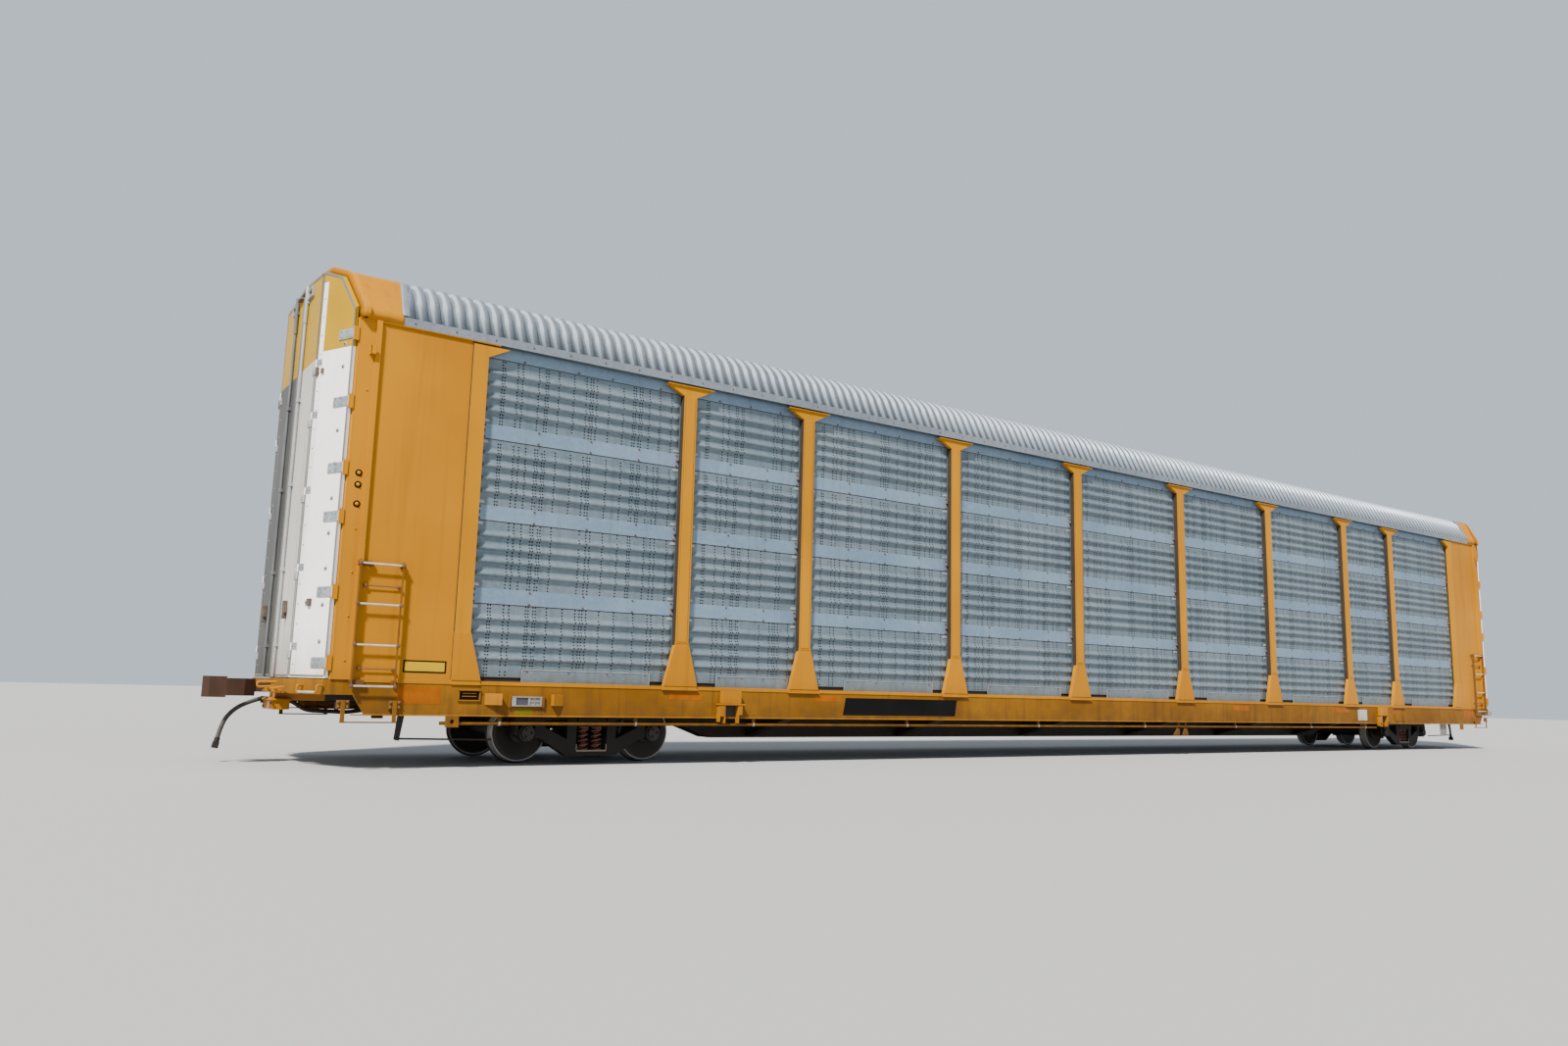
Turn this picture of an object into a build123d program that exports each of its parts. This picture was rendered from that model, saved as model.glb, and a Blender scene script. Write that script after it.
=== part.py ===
from build123d import *
import os
from math import atan2, cos, hypot, pi, radians, sin, tan

# Enclosed autorack flatcar: a long low flatcar that carries a screened rack with a roof,
# two decks for motor cars and folding doors at both ends.
# X runs along the car with the brake end at the low side, Y across, Z up.
# Zero height is the tip of the wheel flanges. Millimetres.

os.makedirs("parts", exist_ok=True)

# Running gear
wheel_radius = 350
flange_height = 25
wheel_back_gap = 1353
wheel_rim_width = 140
flange_width = 32
rim_depth = 62
wheel_web_dish = 58
hub_radius = 118
axle_radius = 84
journal_radius = 72
bearing_radius = 100
bearing_length = 150
bearing_offset = 1003
end_cap_radius = 78
end_cap_length = 34
wheelbase = 1702
truck_setback = 3000
axle_z = wheel_radius + flange_height

# Cast side frames and bolster of a truck
frame_thickness = 130
frame_bottom_z = 100
frame_top_z = 640
jaw_clearance = 6
adapter_gap = 0.3
adapter_thickness = 26
spring_radius = 66
spring_pitch = 178
spring_seat_thickness = 62
window_half_width = 205
bolster_half_width = 190
bolster_depth = 170
bolster_top_z = 655
centre_bowl_radius = 178
centre_plate_radius = 165
centre_plate_z = 680
plate_gap = 0.4
side_bearing_offset = 635
beam_z = 300
beam_width = 60
beam_height = 50
shoe_gap = 20
shoe_depth = 45
shoe_height = 150
shoe_width = 85

# Flatcar frame
foot_z = 925
deck_thickness = 12
sill_face = 1465
sill_web = 12
sill_flange = 90
sill_flange_thickness = 14
sill_top_z = 971
sill_bottom_z = 575
sill_half_length = 13060
sill_corner_cut_x = 140
sill_corner_cut_z = 225
centre_sill_half_width = 165
centre_sill_deep_z = 270
centre_sill_shallow_z = 700
deep_setback = 2260
slope_length = 1200
sill_inner_reach = 1240
draft_plate = 14
cross_bearer_web = 12
cross_bearer_flange = 150
bearer_tip_z = 640
body_bolster_half_width = 170

# Rack posts, screens and upper deck
end_bay = 1143
narrow_bay = 1942
wide_bay_count = 7
post_face = 1480
post_depth = 60
post_half_width = 95
foot_half_width = 250
foot_top_z = 1517
gusset_half_width = 355
gusset_bottom_z = 4737
gusset_top_z = 4871
screen_base = 1386
screen_thickness = 12
screen_bottom_z = 1020
ridge_height = post_face - post_depth - screen_base
ridge_base = 84
ridge_pitch = 151.5
first_ridge_z = 1237
tier_pitch = 966
tier_count = 4
ridges_per_tier = 4
fascia_bottom_z = 4905
fascia_thickness = 10
kick_length = 1690
kick_offset = 180
kick_height = 150
kick_thickness = 8
upper_deck_z = 3160
upper_deck_thickness = 60
upper_deck_plate = 8
upper_deck_rib_pitch = 950
upper_deck_rib_width = 110
upper_deck_setback = 10
ledger_width = 60
ledger_height = 90

# Roof
eave_y = 1490
eave_z = 5005
shoulder_y = 1232
shoulder_z = 5425
haunch_y = 985
haunch_z = 5520
crown_z = 5610
roof_sheet = 12
corrugation_pitch = 150
corrugation_height = 45
corrugation_skin = 3
roof_cap_length = 521
rim_height = 60
rim_width = 60

# Folding end doors: the outer leaf hangs on the corner post, the inner leaf on the outer one
door_pivot_reach = 286
door_pivot_y = 1485
door_bay_depth = 254
fold_y = 924
door_thickness = 40
door_bottom_z = 960
door_top_drop = 14
fold_edge_gap = 12
centre_edge_gap = 6
pivot_offset = 16
frame_gap = 8
lock_rod_radius = 17
lock_rod_offset = 260
lock_rod_gap = 24
lock_rod_guide_heights = (1300, 2150, 3130, 4124, 5320)
hinge_heights = (1120, 1869, 2682, 3215, 3949, 4714)
hinge_height = 110
hinge_strap = 250
hinge_plate = 8
fold_hinge_heights = (1250, 2100, 2950, 3800, 4400)
fold_plate_height = 80
fold_plate_width = 110
fold_plate = 6
fold_barrel_radius = 7
hinge_pin_radius = 8
end_panel_face = 1467
end_panel_thickness = 12
corner_rib_width = 56
corner_post_depth = 100
rib_projection = 26

# End platform and couplers
platform_top_z = 950
platform_edge_z = 790
platform_edge = 20
platform_margin = 20
coupler_z = 840
coupler_pin_setback = 700
coupler_pin_radius = 40
coupler_swing_gap = 0.4
carrier_width = 70
carrier_gap = 1
shank_half_width = 60
shank_half_height = 50
coupler_head_reach = 160
coupler_face_reach = 700
head_half_height = 96
knuckle_half_height = 115
knuckle_nose_radius = 24

# Ladders and pipes
rung_radius = 10
ladder_rail = 40
ladder_rail_thickness = 10
ladder_strap = 6
ladder_reach = 35
ladder_width = 457
ladder_bottom_z = 865
ladder_top_z = 2235
rung_count = 4
rung_pitch = 437
first_rung_z = 885
step_drop_z = 527
step_foot_z = 700
step_bar = 22
step_depth = 50
step_margin = 20
pipe_radius = 20
pipe_z = 497
pipe_inset = 45
train_pipe_y = 300
train_pipe_z = 700
angle_cock_setback = 40
hose_start_reach = 55
hose_drop = (135, 45)
hose_radius = 25

# Values worked out from the ones above
door_pivot_x = sill_half_length + door_pivot_reach
fold_x = door_pivot_x + door_bay_depth
corrugated_half_length = door_pivot_x - roof_cap_length
upper_deck_half_length = sill_half_length - upper_deck_setback
truck_x = sill_half_length - truck_setback
deep_half_length = truck_x - deep_setback
slope_end_x = deep_half_length + slope_length
sill_inner_end = truck_x + sill_inner_reach
coupler_pin_x = fold_x - coupler_pin_setback
coupler_head_x = fold_x + coupler_head_reach
coupler_face_x = fold_x + coupler_face_reach
ladder_outer_x = sill_half_length + ladder_reach
ladder_inner_x = ladder_outer_x - ladder_width
angle_cock_x = fold_x - angle_cock_setback
hose_start_x = fold_x + hose_start_reach
post_span = 2 * (sill_half_length - end_bay)
wide_bay = (post_span - 2 * narrow_bay) / wide_bay_count
bay_plan = [wide_bay] * (wide_bay_count + 2)
bay_plan[1] = narrow_bay
bay_plan[-2] = narrow_bay
end_panel_start = post_span / 2 + post_half_width
corner_post_start = sill_half_length + corner_rib_width
post_x = [sum(bay_plan[:i]) - post_span / 2 for i in range(len(bay_plan) + 1)]
rack_half_length = post_span / 2
deck_under_z = foot_z - deck_thickness
leaf_length = hypot(fold_x - door_pivot_x, fold_y - door_pivot_y)
leaf_turn = atan2(fold_x - door_pivot_x, door_pivot_y - fold_y)
mitre_inset = door_thickness * tan(leaf_turn / 2)
screen_inner = screen_base - screen_thickness
ladder_face = post_face + rib_projection + ladder_rail
ENDS = (("b", -1), ("a", 1))
SIDES = (("left", -1), ("right", 1))
roof_half_line = [(eave_y, eave_z), (shoulder_y, shoulder_z), (haunch_y, haunch_z), (0, crown_z)]


def roof_outline(bottom_z):
    """Closed outline of the rack's cross-section, from a level bottom up to the roof's outside."""
    right = [(eave_y, bottom_z)] + roof_half_line
    left = [(-y, z) for y, z in reversed(right[:-1])]
    return right + left


def leaf_point(along, inward):
    """A point in the outer leaf's plan, along the leaf from its pivot and inward from its face."""
    x = door_pivot_x + along * sin(leaf_turn) - inward * cos(leaf_turn)
    y = door_pivot_y - along * cos(leaf_turn) - inward * sin(leaf_turn)
    return x, y


def signed(points, end, side):
    """Plan points of the positive corner moved to another corner of the car."""
    return [(end * x, side * y) for x, y in points]


# Side sills: channels with a lip on top and their low end corners cut off
with BuildPart() as side_sills:
    with BuildSketch(Plane.YZ.offset(-sill_half_length)):
        with BuildLine():
            Polyline(
                (sill_face, sill_bottom_z),
                (sill_face, sill_top_z),
                (sill_face - sill_flange, sill_top_z),
                (sill_face - sill_flange, sill_top_z - sill_flange_thickness),
                (sill_face - sill_web, sill_top_z - sill_flange_thickness),
                (sill_face - sill_web, sill_bottom_z + sill_flange_thickness),
                (sill_face - sill_flange, sill_bottom_z + sill_flange_thickness),
                (sill_face - sill_flange, sill_bottom_z),
                close=True,
            )
        make_face()
    extrude(amount=2 * sill_half_length)
    with BuildSketch(Plane.XZ):
        for end in (-1, 1):
            with BuildLine():
                Polyline(
                    (end * sill_half_length, sill_bottom_z + sill_corner_cut_z),
                    (end * (sill_half_length - sill_corner_cut_x), sill_bottom_z),
                    (end * sill_half_length, sill_bottom_z),
                    close=True,
                )
            make_face()
    extrude(amount=2 * sill_face, both=True, mode=Mode.SUBTRACT)
    mirror(about=Plane.XZ)
side_sills.part.label = "side_sills"
export_step(side_sills.part, "parts/side_sills.step")

# Centre sill: a box that is deep between the trucks and shallow above them
with BuildPart() as centre_sill:
    with BuildSketch(Plane.XZ):
        with BuildLine():
            Polyline(
                (-sill_inner_end, deck_under_z),
                (-sill_inner_end, centre_sill_shallow_z),
                (-slope_end_x, centre_sill_shallow_z),
                (-deep_half_length, centre_sill_deep_z),
                (deep_half_length, centre_sill_deep_z),
                (slope_end_x, centre_sill_shallow_z),
                (sill_inner_end, centre_sill_shallow_z),
                (sill_inner_end, deck_under_z),
                close=True,
            )
        make_face()
    extrude(amount=centre_sill_half_width, both=True)
    for end in (-1, 1):
        with BuildSketch(Plane.XY.offset(centre_sill_shallow_z)):
            with Locations((end * truck_x, 0)):
                Circle(centre_plate_radius)
        extrude(amount=centre_plate_z + plate_gap - centre_sill_shallow_z)
centre_sill.part.label = "centre_sill"
export_step(centre_sill.part, "parts/centre_sill.step")

# Draft sills: open channels at both ends that hold the couplers by their pins
draft_sill_end = fold_x - door_thickness
with BuildPart() as draft_sills:
    for end in (-1, 1):
        with BuildSketch(Plane.YZ.offset(end * sill_inner_end)):
            with Locations((0, (deck_under_z + centre_sill_shallow_z) / 2)):
                Rectangle(2 * centre_sill_half_width, deck_under_z - centre_sill_shallow_z)
                Rectangle(
                    2 * (centre_sill_half_width - draft_plate),
                    deck_under_z - 2 * draft_plate - centre_sill_shallow_z,
                    mode=Mode.SUBTRACT,
                )
        extrude(amount=end * (draft_sill_end - sill_inner_end))
        with BuildSketch(Plane.XY.offset(centre_sill_shallow_z)):
            with Locations((end * coupler_pin_x, 0)):
                Circle(coupler_pin_radius)
        extrude(amount=deck_under_z - centre_sill_shallow_z)
        with BuildSketch(Plane.XY.offset(centre_sill_shallow_z)):
            with Locations((end * (draft_sill_end - carrier_width / 2), 0)):
                Rectangle(carrier_width, 2 * centre_sill_half_width)
        extrude(amount=coupler_z - shank_half_height - carrier_gap - centre_sill_shallow_z)
draft_sills.part.label = "draft_sills"
export_step(draft_sills.part, "parts/draft_sills.step")

# Cross bearers: tapered webs with a sloping flange from the centre sill out to the side sills
bearer_inner = (centre_sill_half_width, centre_sill_deep_z + 20)
bearer_outer = (sill_face - sill_web, bearer_tip_z)
with BuildPart() as cross_bearers:
    for x in [x for x in post_x if abs(x) < deep_half_length]:
        with BuildSketch(Plane.YZ.offset(x - cross_bearer_web / 2)):
            with BuildLine():
                Polyline(
                    (centre_sill_half_width, deck_under_z),
                    bearer_inner,
                    bearer_outer,
                    (sill_face - sill_web, deck_under_z),
                    close=True,
                )
            make_face()
        extrude(amount=cross_bearer_web)
        with BuildSketch(Plane.YZ.offset(x - cross_bearer_flange / 2)):
            with BuildLine():
                Polyline(
                    bearer_inner,
                    bearer_outer,
                    (bearer_outer[0], bearer_outer[1] + draft_plate),
                    (bearer_inner[0], bearer_inner[1] + draft_plate),
                    close=True,
                )
            make_face()
        extrude(amount=cross_bearer_flange)
    mirror(about=Plane.XZ)
cross_bearers.part.label = "cross_bearers"
export_step(cross_bearers.part, "parts/cross_bearers.step")

# Body bolsters: box beams over the trucks, with the upper side bearings under them
bolster_tip_z = 770
with BuildPart() as body_bolsters:
    for end in (-1, 1):
        with BuildSketch(Plane.YZ.offset(end * truck_x - body_bolster_half_width)):
            with BuildLine():
                Polyline(
                    (centre_sill_half_width, deck_under_z),
                    (centre_sill_half_width, centre_sill_shallow_z),
                    (side_bearing_offset + 90, centre_sill_shallow_z),
                    (sill_face - sill_web, bolster_tip_z),
                    (sill_face - sill_web, deck_under_z),
                    close=True,
                )
            make_face()
        extrude(amount=2 * body_bolster_half_width)
    mirror(about=Plane.XZ)
body_bolsters.part.label = "body_bolsters"
export_step(body_bolsters.part, "parts/body_bolsters.step")

# Lower deck: one plate between the side sills
with BuildPart() as lower_deck:
    with BuildSketch(Plane.XY.offset(deck_under_z)):
        Rectangle(2 * sill_half_length, 2 * (sill_face - sill_web))
    extrude(amount=deck_thickness)
lower_deck.part.label = "lower_deck"
export_step(lower_deck.part, "parts/lower_deck.step")

# End platforms: a slab in the plan of the closed doors with an edge plate round it
platform_corner = leaf_point(0, -platform_margin)
platform_fold = (fold_x + platform_margin, fold_y)
with BuildPart() as end_platforms:
    for end in (-1, 1):
        with BuildSketch(Plane.XY.offset(platform_edge_z)):
            with BuildLine():
                Polyline(
                    (end * sill_half_length, -sill_face),
                    (end * (platform_corner[0]), -sill_face),
                    (end * platform_fold[0], -platform_fold[1]),
                    (end * platform_fold[0], platform_fold[1]),
                    (end * platform_corner[0], sill_face),
                    (end * sill_half_length, sill_face),
                    close=True,
                )
            make_face()
        extrude(amount=platform_top_z - platform_edge_z)
        with BuildSketch(Plane.XY.offset(platform_edge_z)):
            with BuildLine():
                Polyline(
                    (end * (sill_half_length + platform_edge), -sill_face + platform_edge),
                    (end * (platform_corner[0] - platform_edge), -sill_face + platform_edge),
                    (end * (platform_fold[0] - platform_edge), -platform_fold[1]),
                    (end * (platform_fold[0] - platform_edge), platform_fold[1]),
                    (end * (platform_corner[0] - platform_edge), sill_face - platform_edge),
                    (end * (sill_half_length + platform_edge), sill_face - platform_edge),
                    close=True,
                )
            make_face()
        extrude(amount=deck_under_z - platform_edge_z, mode=Mode.SUBTRACT)
        with BuildSketch(Plane.YZ):
            with Locations((0, (deck_under_z + platform_edge_z) / 2)):
                Rectangle(2 * centre_sill_half_width, deck_under_z - platform_edge_z)
        extrude(amount=end * 2 * fold_x, mode=Mode.SUBTRACT)
end_platforms.part.label = "end_platforms"
export_step(end_platforms.part, "parts/end_platforms.step")

# Rack posts: flat faced, with a gusset at the eave and a flared foot that laps the sill
with BuildPart() as posts:
    with BuildSketch(Plane.XZ.offset(post_face - post_depth)):
        for index, x in enumerate(post_x):
            left_end = index == 0
            right_end = index == len(post_x) - 1
            foot_left = post_half_width if left_end else foot_half_width
            foot_right = post_half_width if right_end else foot_half_width
            tip_left = post_half_width if left_end else gusset_half_width
            tip_right = post_half_width if right_end else gusset_half_width
            with BuildLine():
                Polyline(
                    (x - foot_left, foot_z),
                    (x + foot_right, foot_z),
                    (x + post_half_width, foot_top_z),
                    (x + post_half_width, gusset_bottom_z),
                    (x + tip_right, gusset_top_z),
                    (x - tip_left, gusset_top_z),
                    (x - post_half_width, gusset_bottom_z),
                    (x - post_half_width, foot_top_z),
                    close=True,
                )
            make_face()
    extrude(amount=post_depth)
    with BuildSketch(Plane.YZ.offset(-sill_half_length)):
        with Locations((-sill_face, (foot_z + sill_top_z) / 2)):
            Rectangle(2 * post_depth, sill_top_z - foot_z, align=(Align.MIN, Align.CENTER))
    extrude(amount=2 * sill_half_length, mode=Mode.SUBTRACT)
    mirror(about=Plane.XZ)
posts.part.label = "posts"
export_step(posts.part, "parts/posts.step")

# Side screens: sheets with four round ridges in each of four tiers and plain bands between
with BuildPart() as side_screens:
    with BuildSketch(Plane.YZ.offset(-rack_half_length)):
        with BuildLine():
            flat_start = (screen_base, screen_bottom_z)
            for tier in range(tier_count):
                for ridge in range(ridges_per_tier):
                    middle = first_ridge_z + tier * tier_pitch + ridge * ridge_pitch
                    ridge_low = (screen_base, middle - ridge_base / 2)
                    ridge_high = (screen_base, middle + ridge_base / 2)
                    Line(flat_start, ridge_low)
                    ThreePointArc(ridge_low, (screen_base + ridge_height, middle), ridge_high)
                    flat_start = ridge_high
            Polyline(
                flat_start,
                (screen_base, eave_z),
                (screen_inner, eave_z),
                (screen_inner, screen_bottom_z),
                (screen_base, screen_bottom_z),
            )
        make_face()
    extrude(amount=post_span)
    mirror(about=Plane.XZ)
side_screens.part.label = "side_screens"
export_step(side_screens.part, "parts/side_screens.step")

# Kick plates: galvanised strips on the sill that close most of the gap under each screen
with BuildPart() as kick_plates:
    with BuildSketch(Plane.XZ.offset(screen_base)):
        for x0, x1 in zip(post_x, post_x[1:]):
            length = kick_length * (x1 - x0) / wide_bay
            with Locations(((x0 + x1) / 2 + kick_offset, sill_top_z + kick_height / 2)):
                Rectangle(length, kick_height)
    extrude(amount=kick_thickness)
    mirror(about=Plane.XZ)
kick_plates.part.label = "kick_plates"
export_step(kick_plates.part, "parts/kick_plates.step")

# End panels: plain sheets between the last post and the corner post
with BuildPart() as end_panels:
    with BuildSketch(Plane.XZ.offset(end_panel_face - end_panel_thickness)):
        for end in (-1, 1):
            middle = (end_panel_start + sill_half_length) / 2
            with Locations((end * middle, (sill_top_z + fascia_bottom_z) / 2)):
                Rectangle(sill_half_length - end_panel_start, fascia_bottom_z - sill_top_z)
    extrude(amount=end_panel_thickness)
    mirror(about=Plane.XZ)
end_panels.part.label = "end_panels"
export_step(end_panels.part, "parts/end_panels.step")

# Corner posts: carry the door hinges; the face toward the door is parallel to the closed leaf
post_gap = door_thickness + frame_gap


def corner_face_x(y):
    """Where the corner post's door face stands at a given distance from the centre line."""
    return door_pivot_x - (post_gap - (door_pivot_y - y) * sin(leaf_turn)) / cos(leaf_turn)


with BuildPart() as corner_posts:
    for end in (-1, 1):
        with BuildSketch(Plane.XY.offset(platform_top_z)):
            for side in (-1, 1):
                outline = [
                    (sill_half_length, post_face - rib_projection),
                    (sill_half_length, post_face + rib_projection),
                    (corner_post_start, post_face + rib_projection),
                    (corner_post_start, post_face),
                    (corner_face_x(post_face), post_face),
                    (corner_face_x(post_face - corner_post_depth), post_face - corner_post_depth),
                    (corner_post_start, post_face - corner_post_depth),
                    (corner_post_start, post_face - rib_projection),
                ]
                with BuildLine():
                    Polyline(*signed(outline, end, side), close=True)
                make_face()
        extrude(amount=fascia_bottom_z - platform_top_z)
corner_posts.part.label = "corner_posts"
export_step(corner_posts.part, "parts/corner_posts.step")

# Eave rails: flat galvanised fascias along both sides under the corrugated roof
with BuildPart() as eave_rails:
    with BuildSketch(Plane.YZ.offset(-corrugated_half_length)):
        with BuildLine():
            Polyline(
                (eave_y, fascia_bottom_z),
                (eave_y, eave_z),
                (screen_base, eave_z),
                (screen_base, eave_z - fascia_thickness),
                (eave_y - fascia_thickness, eave_z - fascia_thickness),
                (eave_y - fascia_thickness, fascia_bottom_z),
                close=True,
            )
        make_face()
    extrude(amount=2 * corrugated_half_length)
    mirror(about=Plane.XZ)
eave_rails.part.label = "eave_rails"
export_step(eave_rails.part, "parts/eave_rails.step")

# Upper deck: a plate on cross ribs and edge channels, with the ledgers that carry its edges
with BuildPart() as upper_deck:
    with BuildSketch(Plane.XY.offset(upper_deck_z + upper_deck_thickness - upper_deck_plate)):
        Rectangle(2 * upper_deck_half_length, 2 * screen_inner)
    extrude(amount=upper_deck_plate)
    with BuildSketch(Plane.XY.offset(upper_deck_z)):
        Rectangle(2 * upper_deck_half_length, 2 * screen_inner)
        Rectangle(
            2 * (upper_deck_half_length - upper_deck_rib_width),
            2 * (screen_inner - ledger_width),
            mode=Mode.SUBTRACT,
        )
        rib_count = int(2 * (upper_deck_half_length - upper_deck_rib_width) / upper_deck_rib_pitch)
        with GridLocations(upper_deck_rib_pitch, 1, rib_count, 1):
            Rectangle(upper_deck_rib_width, 2 * screen_inner)
    extrude(amount=upper_deck_thickness - upper_deck_plate)
upper_deck.part.label = "upper_deck"
export_step(upper_deck.part, "parts/upper_deck.step")

with BuildPart() as deck_ledgers:
    with BuildSketch(Plane.XY.offset(upper_deck_z - ledger_height)):
        for side in (-1, 1):
            with Locations((0, side * (screen_inner - ledger_width / 2))):
                Rectangle(2 * rack_half_length, ledger_width)
    extrude(amount=ledger_height)
deck_ledgers.part.label = "deck_ledgers"
export_step(deck_ledgers.part, "parts/deck_ledgers.step")

# Roof pan: the sheet at the bottom of the corrugations, folded over the rack
with BuildPart() as roof_pan:
    with BuildSketch(Plane.YZ.offset(-corrugated_half_length)):
        with BuildLine():
            Polyline(*roof_outline(fascia_bottom_z), close=True)
        make_face()
        offset(amount=-roof_sheet, kind=Kind.INTERSECTION, mode=Mode.SUBTRACT)
        with Locations((0, eave_z)):
            Rectangle(3 * eave_y, crown_z, align=(Align.CENTER, Align.MIN), mode=Mode.INTERSECT)
    extrude(amount=2 * corrugated_half_length)
roof_pan.part.label = "roof_pan"
export_step(roof_pan.part, "parts/roof_pan.step")

# Roof corrugations: one zigzag section swept over the folds of the pan
eave_slope = atan2(shoulder_z - eave_z, eave_y - shoulder_y)
eave_plane = Plane(
    origin=(-corrugated_half_length, -eave_y, eave_z),
    x_dir=(1, 0, 0),
    z_dir=(0, cos(eave_slope), sin(eave_slope)),
)
corrugation_count = int(2 * corrugated_half_length / corrugation_pitch)
zigzag = []
for index in range(corrugation_count):
    zigzag.append((index * corrugation_pitch, -corrugation_skin))
    zigzag.append(((index + 0.5) * corrugation_pitch, -corrugation_height))
zigzag.append((corrugation_count * corrugation_pitch, -corrugation_skin))
zigzag.append((corrugation_count * corrugation_pitch, 0))
zigzag.append((0, 0))
with BuildPart() as roof_ribs:
    with BuildLine() as roof_path:
        left_line = [(-corrugated_half_length, -y, z) for y, z in roof_half_line]
        right_line = [(-corrugated_half_length, y, z) for y, z in reversed(roof_half_line[:-1])]
        Polyline(*left_line, *right_line)
    with BuildSketch(eave_plane) as zigzag_section:
        with BuildLine():
            Polyline(*zigzag, close=True)
        make_face()
    sweep(sections=zigzag_section.sketch, path=roof_path.line, transition=Transition.RIGHT)
roof_ribs.part.label = "roof_ribs"
export_step(roof_ribs.part, "parts/roof_ribs.step")

# Roof end caps: plain sheets that follow the plan of the doors and end in a raised rim
cap_inner = [
    (corrugated_half_length, eave_y + rim_height),
    leaf_point(-rim_height, post_gap),
    leaf_point(leaf_length, post_gap),
    (leaf_point(leaf_length, post_gap)[0], 0),
    (corrugated_half_length, 0),
]
cap_rim = [
    leaf_point(-2 * rim_height, post_gap + rim_width),
    leaf_point(-2 * rim_height, post_gap),
    leaf_point(leaf_length, post_gap),
    (leaf_point(leaf_length, post_gap)[0], 0),
    (leaf_point(leaf_length, post_gap)[0] - rim_width, 0),
    leaf_point(leaf_length, post_gap + rim_width),
]


def plan_prism(points):
    """A tall prism over plan points of the positive corner, mirrored to the other side."""
    with BuildPart(mode=Mode.PRIVATE) as prism:
        with BuildSketch(Plane.XY.offset(fascia_bottom_z)):
            with BuildLine():
                Polyline(*points, close=True)
            make_face()
        extrude(amount=eave_z)
        mirror(about=Plane.XZ)
    return prism.part


cap_plan = plan_prism(cap_inner)
rim_plan = plan_prism(cap_rim)
with BuildPart() as roof_end_caps:
    with BuildSketch(Plane.YZ.offset(corrugated_half_length)):
        with BuildLine():
            Polyline(*roof_outline(0), close=True)
        make_face()
        offset(amount=-roof_sheet, kind=Kind.INTERSECTION, mode=Mode.SUBTRACT)
    extrude(amount=fold_x - corrugated_half_length)
    add(cap_plan, mode=Mode.INTERSECT)
    with BuildPart(mode=Mode.PRIVATE) as rim:
        with BuildSketch(Plane.YZ.offset(corrugated_half_length)):
            with BuildLine():
                Polyline(*roof_outline(0), close=True)
            make_face()
            offset(amount=rim_height, kind=Kind.INTERSECTION)
            with BuildLine():
                Polyline(*roof_outline(0), close=True)
            make_face(mode=Mode.SUBTRACT)
        extrude(amount=fold_x - corrugated_half_length)
        add(rim_plan, mode=Mode.INTERSECT)
    add(rim.part)
    mirror(about=Plane.YZ)
roof_end_caps.part.label = "roof_end_caps"
export_step(roof_end_caps.part, "parts/roof_end_caps.step")

# Door hinge lugs on the corner posts, one above and one below each strap, with their pins
strap_gap = 0.5
pin_clearance = 1
lug_thickness = 22
knuckle_reach = 12
with BuildPart() as hinge_lugs:
    for z in hinge_heights:
        low_lug_z = z - hinge_height / 2 - strap_gap - lug_thickness
        for lug_z in (low_lug_z, z + hinge_height / 2 + strap_gap):
            with BuildSketch(Plane.XY.offset(lug_z)):
                for end in (-1, 1):
                    for side in (-1, 1):
                        lug = [
                            (corner_face_x(post_face) - 40, post_face),
                            (corner_face_x(post_face) - 40, post_face + 24),
                            (door_pivot_x - knuckle_reach, door_pivot_y + 18),
                            (door_pivot_x, door_pivot_y + knuckle_reach),
                            (door_pivot_x + knuckle_reach, door_pivot_y),
                            (door_pivot_x, door_pivot_y - knuckle_reach),
                            (corner_face_x(post_face), post_face),
                        ]
                        with BuildLine():
                            Polyline(*signed(lug, end, side), close=True)
                        make_face()
            extrude(amount=lug_thickness)
        with BuildSketch(Plane.XY.offset(low_lug_z)):
            for end in (-1, 1):
                for side in (-1, 1):
                    with Locations((end * door_pivot_x, side * door_pivot_y)):
                        Circle(hinge_pin_radius)
        extrude(amount=hinge_height + 2 * (strap_gap + lug_thickness))
hinge_lugs.part.label = "hinge_lugs"
export_step(hinge_lugs.part, "parts/hinge_lugs.step")

# End doors
outer_plan = [
    leaf_point(pivot_offset, 0),
    leaf_point(leaf_length - fold_edge_gap, 0),
    leaf_point(leaf_length - fold_edge_gap - mitre_inset, door_thickness),
    leaf_point(pivot_offset, door_thickness),
]
inner_plan = [
    (fold_x, fold_y - fold_edge_gap),
    (fold_x, centre_edge_gap),
    (fold_x - door_thickness, centre_edge_gap),
    (fold_x - door_thickness, fold_y - fold_edge_gap - mitre_inset),
]
with BuildPart() as door_arch:
    with BuildSketch(Plane.YZ.offset(-2 * fold_x)):
        with BuildLine():
            Polyline(*roof_outline(0), close=True)
        make_face()
        offset(amount=-door_top_drop, kind=Kind.INTERSECTION)
    extrude(amount=4 * fold_x)

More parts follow.
